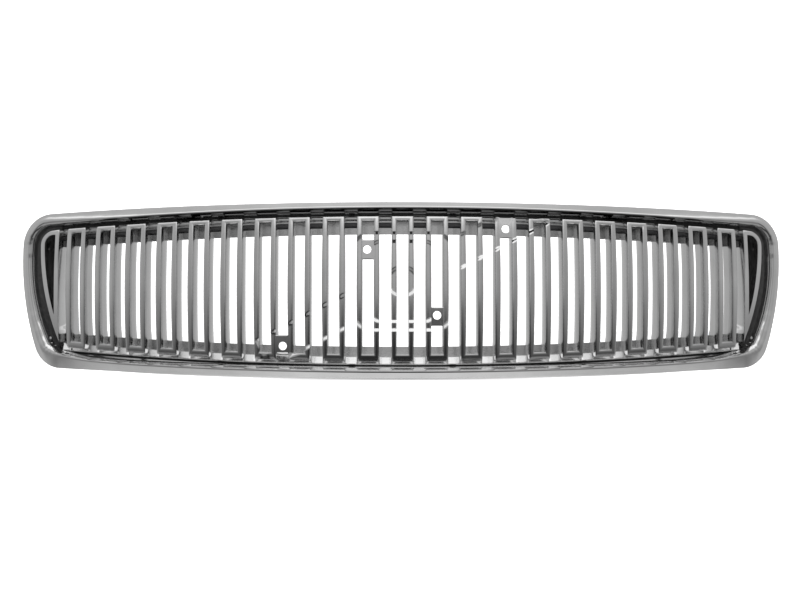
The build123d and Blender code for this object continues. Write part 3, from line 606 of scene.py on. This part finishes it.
def seat_depth(x, z):
    """How much deeper the loops' front is at this place because of the emblem seat."""
    dx, dz = x - SEAT_CENTRE[0], z - SEAT_CENTRE[1]
    sx = dx * cos(STRIP_ANGLE) + dz * sin(STRIP_ANGLE)
    sz = -dx * sin(STRIP_ANGLE) + dz * cos(STRIP_ANGLE)
    strip = rounded_box_distance(sx, sz, STRIP_LENGTH / 2, STRIP_WIDTH / 2, 0)
    badge = rounded_box_distance(dx, dz, BADGE_HALF_WIDTH, BADGE_HALF_HEIGHT, BADGE_CORNER)
    pocket = rounded_box_distance(dx, dz, POCKET_HALF_WIDTH, POCKET_HALF_HEIGHT, POCKET_CORNER)
    hub = hypot(dx, dz) - HUB_RADIUS
    deepest = 0.0
    for distance, steps in ((strip, 1), (badge, 1), (pocket, 2), (hub, 3)):
        above, depth = (steps - 1) * SEAT_STEP, steps * SEAT_STEP
        offset = (above + depth) / 2 / SEAT_SLOPE
        deepest = max(deepest, min(depth, SEAT_SLOPE * (offset - distance)))
    return deepest


# ---------------------------------------------------------------- slat loops
FRONT_ARC_RADIUS = (LOOP_HALF_HEIGHT**2 + LOOP_BULGE**2) / (2 * LOOP_BULGE)


def front_depth(z):
    reach = min(abs(z - LOOP_MIDDLE_Z), LOOP_HALF_HEIGHT)
    return LOOP_FRONT_DEPTH - LOOP_BULGE + FRONT_ARC_RADIUS - sqrt(FRONT_ARC_RADIUS**2 - reach**2)


def rear_depth(z, foot_top, foot_bottom):
    if z > foot_top or z < foot_bottom:
        return RAIL_DEPTH
    middle, half = (foot_top + foot_bottom) / 2, (foot_top - foot_bottom) / 2
    share = abs(z - middle) / half
    if share > 0.97:
        return RAIL_DEPTH - 3 * (1 - share) / 0.03
    return RAIL_DEPTH - LOOP_BULGE + (LOOP_BULGE - 3) * (share / 0.97) ** 2


EDGE_ROUND = 0.75           # bevel of the bars' front edges
SILL_EDGES = (2.6, 0.6, 1.5, 0.6)
CORNER_ROUND, OPENING_ROUND = 0.9, 0.5
FINE_STEP, COARSE_STEP, SEAT_REACH = 0.55, 4.0, 150


def ring_profile(outer, inner, base_y, slope_x, pivot_x, foot_top, foot_bottom, edges):
    """A loop's section between its outer and inner edge, front rounded at both."""
    (ox, oz), (ix, iz) = outer, inner
    width = hypot(ix - ox, iz - oz)
    ux, uz = (ix - ox) / width, (iz - oz) / width
    outer_round, inner_round, outer_drop, inner_drop = edges
    flat = width - outer_round - inner_round
    across = [
        (0.0, outer_drop), (0.27 * outer_round, 0.3 * outer_drop), (outer_round, 0.0),
        (outer_round + flat / 3, -0.03), (outer_round + 2 * flat / 3, -0.03),
        (width - inner_round, 0.0), (width - 0.27 * inner_round, 0.3 * inner_drop),
        (width, inner_drop),
    ]

    def spot(run, depth_from_front, rear=False):
        x, z = ox + ux * run, oz + uz * run
        if rear:
            depth = rear_depth(z, foot_top, foot_bottom)
        else:
            depth = front_depth(z) + seat_depth(x, z) + depth_from_front
        return x, base_y + slope_x * (x - pivot_x) + depth, z

    points = [spot(0, 0, True)]
    points += [spot(run, drop) for run, drop in across]
    points.append(spot(width, 0, True))
    return points


def bar_heights(low, high, fine):
    """Heights of a bar's stations, close together where the emblem seat crosses it."""
    step = FINE_STEP if fine else COARSE_STEP
    count = max(8, int((high - low) / step))
    return [low + (high - low) * i / count for i in range(count + 1)]


def loop_stations(number):
    """Outer and inner edge of a loop, station by station, with the front's edge rounding."""
    x = loop_x(number)
    half = half_width_at(x)
    opening = half - BAR_WIDTH
    fine = abs(x) < SEAT_REACH
    edges = (EDGE_ROUND, EDGE_ROUND, EDGE_ROUND, EDGE_ROUND)
    left_top = loop_top(x - half) - TOP_BAR
    left_low = loop_bottom(x - half) + BOTTOM_BAR
    stations = []

    def swell(z):
        return 1 - min(1, abs(z - LOOP_MIDDLE_Z) / LOOP_HALF_HEIGHT) ** 2

    def side(sign, heights):
        for z in heights:
            outer = (x + sign * (half + OUTER_SWELL * swell(z)), z)
            inner = (x + sign * (opening - INNER_SWELL * swell(z)), z)
            stations.append((outer, inner, edges))

    def corner(sx, sz, reverse):
        """Rounded corner of the outer edge against the opening's corner."""
        rim = loop_top if sz > 0 else loop_bottom
        bar = TOP_BAR if sz > 0 else BOTTOM_BAR
        corner_edges = edges if sz > 0 else SILL_EDGES
        cx, cz = x + sx * half, rim(x + sx * half)
        ix, iz = x + sx * opening, rim(x + sx * opening) - sz * bar
        spots = []
        for i in range(5):
            turn = pi / 2 * i / 4
            dx, dz = sx * (1 - cos(turn)), sz * (1 - sin(turn))
            spots.append((
                (cx - CORNER_ROUND * dx, cz - CORNER_ROUND * dz),
                (ix - OPENING_ROUND * dx, iz - OPENING_ROUND * dz),
                corner_edges if i > 1 else edges,
            ))
        stations.extend(spots[::-1] if reverse else spots)

    heights = bar_heights(left_low + 0.8, left_top - 0.8, fine)
    side(-1, heights[::-1])
    corner(-1, -1, False)
    for share in (0.2, 0.4, 0.6, 0.8):
        at = x - half + 2 * half * share
        inner_at = x - opening + 2 * opening * share
        inner = (inner_at, loop_bottom(inner_at) + BOTTOM_BAR)
        stations.append(((at, loop_bottom(at)), inner, SILL_EDGES))
    corner(1, -1, True)
    side(1, heights)
    corner(1, 1, False)
    for share in (0.8, 0.6, 0.4, 0.2):
        at = x - half + 2 * half * share
        inner_at = x - opening + 2 * opening * share
        inner = (inner_at, loop_top(inner_at) - TOP_BAR)
        stations.append(((at, loop_top(at)), inner, edges))
    corner(-1, 1, True)
    return stations


def loop_piece(name, stations, x):
    slope = (x / BOW_RADIUS) / sqrt(1 - (x / BOW_RADIUS) ** 2)
    foot_top, foot_bottom = loop_top(x) - LOOP_FOOT, loop_bottom(x) + LOOP_FOOT
    profiles = [
        ring_profile(outer, inner, bow(x) - ORIGIN_DEPTH, slope, x, foot_top, foot_bottom, edges)
        for outer, inner, edges in stations
    ]
    piece = make_piece(name, *swept_ring(profiles), sharp=34)
    dress(piece, INSERT_CHROME)
    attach(piece, "grille")
    return piece


for loop_number in range(1, LOOP_COUNT + 1):
    slat = loop_piece(f"slat_loop_{loop_number:02d}", loop_stations(loop_number), loop_x(loop_number))
    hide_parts(f"loop_{loop_number:02d}")


# ---------------------------------------------------------------- end loops
def end_stations(sign):
    """The D-shaped end loop: straight inner side, curved outer side."""
    cx, cz = END_SIDE_CENTRE
    radius, width = END_SIDE_RADIUS, END_BAR_WIDTH
    edges = (EDGE_ROUND, EDGE_ROUND, EDGE_ROUND, EDGE_ROUND)
    tip_z = cz - sqrt(radius**2 - (END_INNER_X - cx) ** 2)
    inner_tip_z = cz - sqrt((radius - width) ** 2 - (END_INNER_X + width - cx) ** 2)

    def top_line(x):
        return loop_top(END_INNER_X) + END_TOP_SLOPE * (x - END_INNER_X)

    def corner_centre(reach, drop):
        """Centre of the rounded corner between the top line and the side arc."""
        corner_x = cx + sqrt((radius - reach) ** 2 - (top_line(cx + radius) - drop - reach - cz) ** 2)
        return corner_x, top_line(corner_x) - drop - reach

    round_x, round_z = corner_centre(END_CORNER_RADIUS, 0)
    steps = 30
    stations = []
    # Down the inner side
    for i in range(steps + 1):
        share = i / steps
        outer = (END_INNER_X, top_line(END_INNER_X) + (tip_z - top_line(END_INNER_X)) * share)
        high = top_line(END_INNER_X + width) - width
        inner = (END_INNER_X + width, high + (inner_tip_z - high) * share)
        stations.append((outer, inner, edges))
    # Up the curved side to the corner
    outer_first = asin((tip_z - cz) / radius)
    inner_first = asin((inner_tip_z - cz) / (radius - width))
    last = atan2(round_z - cz, round_x - cx)
    for i in range(1, 41):
        share = i / 40
        a = outer_first + (last - outer_first) * share
        b = inner_first + (last - inner_first) * share
        outer = (cx + radius * cos(a), cz + radius * sin(a))
        inner = (cx + (radius - width) * cos(b), cz + (radius - width) * sin(b))
        stations.append((outer, inner, edges))
    # Round the corner and back along the top
    for i in range(1, 11):
        a = last + (pi / 2 - last) * i / 10
        outer = (round_x + END_CORNER_RADIUS * cos(a), round_z + END_CORNER_RADIUS * sin(a))
        small = END_CORNER_RADIUS - width
        inner = (round_x + small * cos(a), round_z + small * sin(a))
        stations.append((outer, inner, edges))
    return [((sign * o[0], o[1]), (sign * i[0], i[1]), e) for o, i, e in stations]


FLANGE_INSET = 3.0
FOOT_LENGTH, FOOT_HEIGHT, FOOT_WIDTH, FOOT_GAP = 9, 20, 5, 0.6
PLATE_START = RAIL_HALF_WIDTH + 2 * SEAM
PLATE_FRONT, PLATE_BACK = RAIL_DEPTH - 0.4, RAIL_DEPTH + RAIL_WALL


def rim_heights(x):
    """Lowest and highest z of the rim flange at x."""
    points = []
    for (cx, cz), radius, first, last in ARCS:
        inset_radius = radius - FLANGE_INSET
        for i in range(60):
            angle = first + (last - first) * i / 60
            points.append((cx + inset_radius * cos(angle), cz + inset_radius * sin(angle)))
    heights = []
    for a, b in zip(points[:-1], points[1:]):
        if min(a[0], b[0]) <= x <= max(a[0], b[0]) and a[0] != b[0]:
            heights.append(a[1] + (b[1] - a[1]) * (x - a[0]) / (b[0] - a[0]))
    return min(heights), max(heights)


def plate_strip(sign, spans):
    """A bowed plate from (x, lowest z, highest z) stations."""
    rows = []
    for x, low, high in spans:
        front, back = bow(x) + PLATE_FRONT - ORIGIN_DEPTH, bow(x) + PLATE_BACK - ORIGIN_DEPTH
        corners = ((front, high), (front, low), (back, low), (back, high))
        rows.append([(sign * x, y, z) for y, z in corners])
    return swept_ring(rows, closed=False)


def end_plates(sign):
    """The closed rim flange beside the end loop, and the foot under its tip."""
    window_top = loop_top(RAIL_HALF_WIDTH) - RAIL_HEIGHT - 2 * SEAM
    window_bottom = loop_bottom(RAIL_HALF_WIDTH) + RAIL_HEIGHT
    reach = SIDE_CENTRE[0] + SIDE_RADIUS - FLANGE_INSET - 0.05
    outer = []
    for i in range(25):
        x = PLATE_START + (reach - PLATE_START) * sin(pi / 2 * i / 24)
        outer.append((x, *rim_heights(x)))
    inner = []
    for i in range(4):
        x = END_INNER_X + i * (PLATE_START - END_INNER_X) / 3
        inner.append((x, window_bottom, window_top))
    low = loop_bottom(END_INNER_X) + FOOT_GAP
    high = low + FOOT_HEIGHT
    back = bow(END_INNER_X) + RAIL_DEPTH - ORIGIN_DEPTH
    front = back - FOOT_LENGTH
    foot_sides = sorted((sign * END_INNER_X, sign * (END_INNER_X + FOOT_WIDTH)))
    foot = prism([(front, low), (front, high), (back, high), (back, low)], *foot_sides)
    return [plate_strip(sign, outer), plate_strip(sign, inner), foot]


for side_name, side_sign in (("left", -1), ("right", 1)):
    pivot = side_sign * (END_INNER_X + 10)
    piece = loop_piece(f"end_slat_{side_name}", end_stations(side_sign), pivot)
    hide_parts(f"end_loop_{side_name}")
    piece = make_piece(f"end_flange_{side_name}", *joined(end_plates(side_sign)))
    dress(piece, END_RIM)
    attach(piece, "grille")


# ---------------------------------------------------------------- emblem tabs
HOLE_RADIUS, TAB_THICKNESS, TAB_MERGE, TAB_FILLET = 3.9, 3.0, 0.8, 2.0
FREE_LIP, MERGED_LIP = 0.9, 0.1         # rounding of a tab's free edges, and beside the bars
TAB_EDGE_POINTS = 72


def tab_outline(left, right, low, high):
    """A tab's edge from the front, spreading into the bars with a small fillet below."""
    steps = 6
    turns = [pi / 2 * i / steps for i in range(steps + 1)]
    fillet = [(TAB_FILLET * (1 - cos(turn)), low - TAB_FILLET * (1 - sin(turn))) for turn in turns]
    points = [(left, high), (left, (low + high) / 2)]
    points += [(left + across, z) for across, z in fillet]
    points.append(((left + right) / 2, low))
    points += [(right - across, z) for across, z in fillet[::-1]]
    points += [(right, (low + high) / 2), (right, high)]
    points += [(right + (left - right) * i / 6, high) for i in range(1, 6)]
    return points


def emblem_tab(name, hole, left, right, low, high, level):
    """A plate flush with the bars beside it, with a round stud hole."""
    hx, hz = hole
    centre = (left + right) / 2
    slope = (centre / BOW_RADIUS) / sqrt(1 - (centre / BOW_RADIUS) ** 2)
    outline = tab_outline(left - TAB_MERGE, right + TAB_MERGE, low, high)
    edge = resampled(outline + outline[:1], TAB_EDGE_POINTS + 1)[:-1]

    def spot(x, z, drop):
        depth = front_depth(z) + level + drop
        return x, bow(centre) + slope * (x - centre) + depth - ORIGIN_DEPTH, z

    profiles = []
    for ex, ez in edge:
        angle = atan2(ez - hz, ex - hx)
        reach = hypot(ex - hx, ez - hz)

        def at(radius, drop):
            return spot(hx + radius * cos(angle), hz + radius * sin(angle), drop)

        lip = FREE_LIP if left <= ex <= right else MERGED_LIP
        profiles.append([
            at(reach, TAB_THICKNESS), at(reach, lip),
            at(reach - 0.3 * lip, 0.3 * lip), at(reach - lip, -0.05),
            at(HOLE_RADIUS + 0.35, -0.05), at(HOLE_RADIUS + 0.1, 0.1), at(HOLE_RADIUS, 0.35),
            at(HOLE_RADIUS, TAB_THICKNESS),
        ])
    piece = make_piece(f"{name}_plate", *swept_ring(profiles), sharp=12)
    dress(piece, INSERT_CHROME)
    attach(piece, "grille")
    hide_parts(name)


def opening_sides(number):
    x = loop_x(number)
    half = half_width_at(x) - BAR_WIDTH
    return x - half, x + half


def gap_sides(number):
    """The sides of the gap between this loop and the next."""
    left, right = loop_x(number), loop_x(number + 1)
    return left + half_width_at(left), right - half_width_at(right)


emblem_tab(
    "badge_tab_upper", (-33.8, 38.6), *opening_sides(10), low=28.8, high=48.0, level=2 * SEAT_STEP
)
emblem_tab(
    "badge_tab_lower", (32.8, -24.2), *opening_sides(12), low=-34.4, high=-16.4, level=2 * SEAT_STEP
)
emblem_tab(
    "strip_tab_upper", (98.8, 58.4), *opening_sides(14), low=49.3, high=70.0, level=SEAT_STEP
)
emblem_tab(
    "strip_tab_lower", (-114.6, -53.5), *gap_sides(7), low=-60.3, high=-43.0, level=SEAT_STEP
)


# ---------------------------------------------------------------- link faces
# Depths of a block's front at its lower and upper edge, and of its back
UPPER_LINK_DEPTHS = (20.9, 21.2, 25.0)
LOWER_LINK_DEPTHS = (18.6, 21.8, 32.0)
SKIRT_DEPTHS = (18.6, 20.4, 32.0)
UPPER_LINK_LIFT, UPPER_LINK_TOP = 0.8, 1.2
# Size of the black wedge under each upper link, a painted shadow
SHADOW_WEDGE_FRONT, SHADOW_WEDGE_BACK, SHADOW_WEDGE_HEIGHT, SHADOW_WEDGE_NOSE, SHADOW_WEDGE_LIFT = 22.0, 39.0, 4.6, 1.5, 0.6
BLOCK_OVERLAP, SKIRT_GAP, SKIRT_SPREAD = 0.05, 0.2, 0.2


def shadow_wedge(left, right):
    """A black wedge under an upper link, sloping back to the rail's wall: painted shadow under the link.
    """
    rows = []
    for x in (left, (left + right) / 2, right):
        top = loop_top(x) - LINK_HEIGHT + SHADOW_WEDGE_LIFT
        front, back = bow(x) + SHADOW_WEDGE_FRONT - ORIGIN_DEPTH, bow(x) + SHADOW_WEDGE_BACK - ORIGIN_DEPTH
        nose = (x, front + SHADOW_WEDGE_NOSE, top - SHADOW_WEDGE_NOSE)
        rows.append([(x, back, top), (x, front, top), nose, (x, back, top - SHADOW_WEDGE_HEIGHT)])
    return swept_ring(rows, closed=False)


def link_block(left, right, low, high, depths):
    """The leaning front of a link between two loops, its edges rounded."""
    near_low, near_high, far = depths
    soft = 0.7

    def spot(x, z, depth):
        return x, bow(x) + depth - ORIGIN_DEPTH, z

    profiles = []
    for x, inset in ((left, 0.5), (left + 0.2, 0.15), (left + soft, 0.0)):
        profiles.append((x, inset))
    for share in (0.25, 0.5, 0.75):
        profiles.append((left + (right - left) * share, 0.0))
    for x, inset in ((right - soft, 0.0), (right - 0.2, 0.15), (right, 0.5)):
        profiles.append((x, inset))
    rows = []
    for x, inset in profiles:
        bottom, top = low(x), high(x)
        rows.append([
            spot(x, top, far), spot(x, top, near_high + soft + inset),
            spot(x, top - 0.2, near_high + 0.2 + inset),
            spot(x, top - soft, near_high + inset), spot(x, bottom + 1.3, near_low + inset),
            spot(x, bottom + 0.5, near_low + 0.5 + inset), spot(x, bottom, near_low + 1.6 + inset),
            spot(x, bottom, far),
        ])
    return swept_ring(rows, closed=False)


def upper_link_low(x):
    return loop_top(x) - LINK_HEIGHT + UPPER_LINK_LIFT


def upper_link_high(x):
    return loop_top(x) + UPPER_LINK_TOP


def lower_link_low(x):
    return loop_bottom(x) - SKIRT - BLOCK_OVERLAP


def lower_link_high(x):
    return loop_bottom(x) + SKIRT + BLOCK_OVERLAP


def skirt_high(x):
    return loop_bottom(x) - SKIRT_GAP


gap_edges = [-END_INNER_X]
for loop_number in range(1, LOOP_COUNT + 1):
    centre, half = loop_x(loop_number), half_width_at(loop_x(loop_number))
    gap_edges += [centre - half, centre + half]
gap_edges.append(END_INNER_X)
upper_blocks, lower_blocks, shadow_wedge_blocks = [], [], []
for left, right in zip(gap_edges[0::2], gap_edges[1::2]):
    sides = left + SEAM - BLOCK_OVERLAP, right - SEAM + BLOCK_OVERLAP
    upper_blocks.append(link_block(*sides, upper_link_low, upper_link_high, UPPER_LINK_DEPTHS))
    lower_blocks.append(link_block(*sides, lower_link_low, lower_link_high, LOWER_LINK_DEPTHS))
    shadow_wedge_blocks.append(shadow_wedge(*sides))
for left, right in zip(gap_edges[1:-1:2], gap_edges[2:-1:2]):
    sides = left - SKIRT_SPREAD, right + SKIRT_SPREAD
    lower_blocks.append(link_block(*sides, lower_link_low, skirt_high, SKIRT_DEPTHS))
# Black wedges under the upper links, as painted shadow
shadow_wedges = make_piece("link_shadow_wedges", *joined(shadow_wedge_blocks))
dress(shadow_wedges, STUD_PLASTIC)
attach(shadow_wedges, "grille")
for name, blocks in (("upper_link_faces", upper_blocks), ("lower_link_faces", lower_blocks)):
    piece = make_piece(name, *joined(blocks), sharp=50)
    dress(piece, INSERT_CHROME)
    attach(piece, "grille")


# ---------------------------------------------------------------- CAD nodes kept, with their finishes
for name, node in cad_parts.items():
    if name == "top_rail":
        dress(node, INSERT_RIM)
    elif name == "bottom_rail":
        dress(node, LOWER_RIM)
    elif name == "rail_screws":
        dress(node, SCREW_STEEL)
    elif name.startswith("stud_ring"):
        dress(node, RING_STEEL)
    elif name.startswith("turn_stud"):
        dress(node, STUD_PLASTIC)


# ---------------------------------------------------------------- floor, light and camera
FLOOR_REACH, FLOOR_HEIGHT = 6.0, -0.0862


def pale_floor():
    sides = ((-1, -1), (1, -1), (1, 1), (-1, 1))
    corners = [(x * FLOOR_REACH, y * FLOOR_REACH, FLOOR_HEIGHT) for x, y in sides]
    mesh = bpy.data.meshes.new("floor")
    mesh.from_pydata(corners, [], [(0, 1, 2, 3)])
    floor = bpy.data.objects.new("floor", mesh)
    bpy.context.scene.collection.objects.link(floor)
    material, tree, shader = new_material("pale_floor")
    grain = noise(tree, 3, 2)
    tree.links.new(ramp(tree, grain, [(0.3, 0.93), (0.7, 0.95)]), shader.inputs["Base Color"])
    shader.inputs["Roughness"].default_value = 0.9
    shader.inputs["Emission Color"].default_value = (1, 1, 1, 1)
    shader.inputs["Emission Strength"].default_value = 0.8
    mesh.materials.append(material)
    floor.visible_glossy = False


def pale_backdrop():
    """A plain pale sheet far behind, seen only by the camera."""
    mesh = bpy.data.meshes.new("backdrop")
    mesh.from_pydata([(-9, 5.9, -4), (9, 5.9, -4), (9, 5.9, 8), (-9, 5.9, 8)], [], [(0, 1, 2, 3)])
    backdrop = bpy.data.objects.new("backdrop", mesh)
    bpy.context.scene.collection.objects.link(backdrop)
    material, tree, shader = new_material("pale_backdrop")
    tree.links.new(ramp(tree, noise(tree, 1, 2), [(0.3, 0.9), (0.7, 0.92)]), shader.inputs["Base Color"])
    shader.inputs["Roughness"].default_value = 0.9
    shader.inputs["Emission Color"].default_value = (1, 1, 1, 1)
    shader.inputs["Emission Strength"].default_value = 1.0
    mesh.materials.append(material)
    backdrop.visible_glossy = False
    backdrop.visible_diffuse = False
    backdrop.visible_shadow = False


def studio_world():
    """A pale room: light behind and above, darker low down in front, grey at the sides."""
    world = bpy.data.worlds.new("studio")
    bpy.context.scene.world = world
    world.use_nodes = True
    tree = world.node_tree
    background = tree.nodes["Background"]
    place = tree.nodes.new("ShaderNodeTexCoord")
    split = tree.nodes.new("ShaderNodeSeparateXYZ")
    tree.links.new(place.outputs["Generated"], split.inputs[0])

    def rescaled(value, low, high):
        node = tree.nodes.new("ShaderNodeMapRange")
        node.interpolation_type = "SMOOTHSTEP"
        node.inputs["From Min"].default_value = low
        node.inputs["From Max"].default_value = high
        tree.links.new(value, node.inputs["Value"])
        return node.outputs["Result"]

    def mixed(share, first, second):
        node = tree.nodes.new("ShaderNodeMix")
        node.data_type = "RGBA"
        tree.links.new(share, node.inputs[0])
        for socket, colour in ((node.inputs[6], first), (node.inputs[7], second)):
            if isinstance(colour, float):
                socket.default_value = (colour, colour, colour, 1)
            else:
                tree.links.new(colour, socket)
        return node.outputs[2]

    height = tree.nodes.new("ShaderNodeMapRange")
    height.inputs["From Min"].default_value = -1
    height.inputs["From Max"].default_value = 1
    tree.links.new(split.outputs["Z"], height.inputs["Value"])
    up = height.outputs["Result"]
    front = ramp(tree, up, [
        (0.0, 0.02), (0.30, 0.02), (0.36, 0.05), (0.42, 0.12), (0.45, 0.18), (0.48, 0.31),
        (0.51, 0.36), (0.60, 0.41), (0.72, 0.47), (0.77, 1.05), (1.0, 1.1),
    ])
    sides = ramp(tree, up, [
        (0.0, 0.38), (0.13, 0.28), (0.22, 0.07), (0.28, 0.07), (0.34, 0.13), (0.40, 0.20),
        (0.48, 0.26), (0.52, 0.29), (0.62, 0.34), (0.73, 0.38), (0.78, 0.8), (1.0, 1.15),
    ])
    ends = ramp(tree, up, [
        (0.0, 0.3), (0.2, 0.2), (0.36, 0.25), (0.42, 0.29), (0.48, 0.36), (0.54, 0.40),
        (0.75, 0.42), (1.0, 0.9),
    ])
    back = ramp(tree, up, [(0.0, 0.65), (0.4, 0.70), (0.5, 0.74), (0.6, 0.68), (0.9, 0.58), (1.0, 0.6)])
    corners = ramp(tree, up, [(0.0, 0.5), (0.4, 0.40), (0.6, 0.42), (0.9, 0.45), (1.0, 0.5)])
    sideways = tree.nodes.new("ShaderNodeMath")
    sideways.operation = "ABSOLUTE"
    tree.links.new(split.outputs["X"], sideways.inputs[0])
    inner = mixed(rescaled(sideways.outputs[0], 0.08, 0.34), front, sides)
    near = mixed(rescaled(sideways.outputs[0], 0.62, 0.82), inner, ends)
    behind = mixed(rescaled(sideways.outputs[0], 0.10, 0.32), back, corners)
    whole = mixed(rescaled(split.outputs["Y"], 0.02, 0.32), near, behind)
    tree.links.new(whole, background.inputs["Color"])
    background.inputs["Strength"].default_value = 1.0


def softbox(name, place, target, size, power):
    light = bpy.data.lights.new(name, "AREA")
    light.shape = "RECTANGLE"
    light.size, light.size_y = size
    light.energy = power
    lamp = bpy.data.objects.new(name, light)
    lamp.location = place
    lamp.rotation_euler = (Vector(target) - Vector(place)).to_track_quat("-Z", "Y").to_euler()
    lamp.visible_glossy = False
    bpy.context.scene.collection.objects.link(lamp)


pale_floor()
pale_backdrop()
studio_world()
softbox("softbox_top", (0, 0.1, 1.6), (0, 0, 0), (2.4, 1.0), 10)

# The camera stands just left of the middle and a little low, looking slightly up
CAMERA_X, CAMERA_DISTANCE, CAMERA_Z = -0.012, 1.232, -0.030
CAMERA_TILT, CAMERA_TURN = radians(90.94), radians(-0.44)
SENSOR_WIDTH, FOCAL_LENGTH = 36, 58.5
camera = bpy.data.objects.new("camera", bpy.data.cameras.new("camera"))
camera.location = (CAMERA_X, -CAMERA_DISTANCE - ORIGIN_DEPTH * MM, CAMERA_Z)
camera.rotation_euler = (CAMERA_TILT, 0, CAMERA_TURN)
camera.data.sensor_width = SENSOR_WIDTH
camera.data.lens = FOCAL_LENGTH
camera.data.clip_start = 0.05
bpy.context.scene.collection.objects.link(camera)
bpy.context.scene.camera = camera
bpy.context.scene.view_settings.view_transform = "Standard"
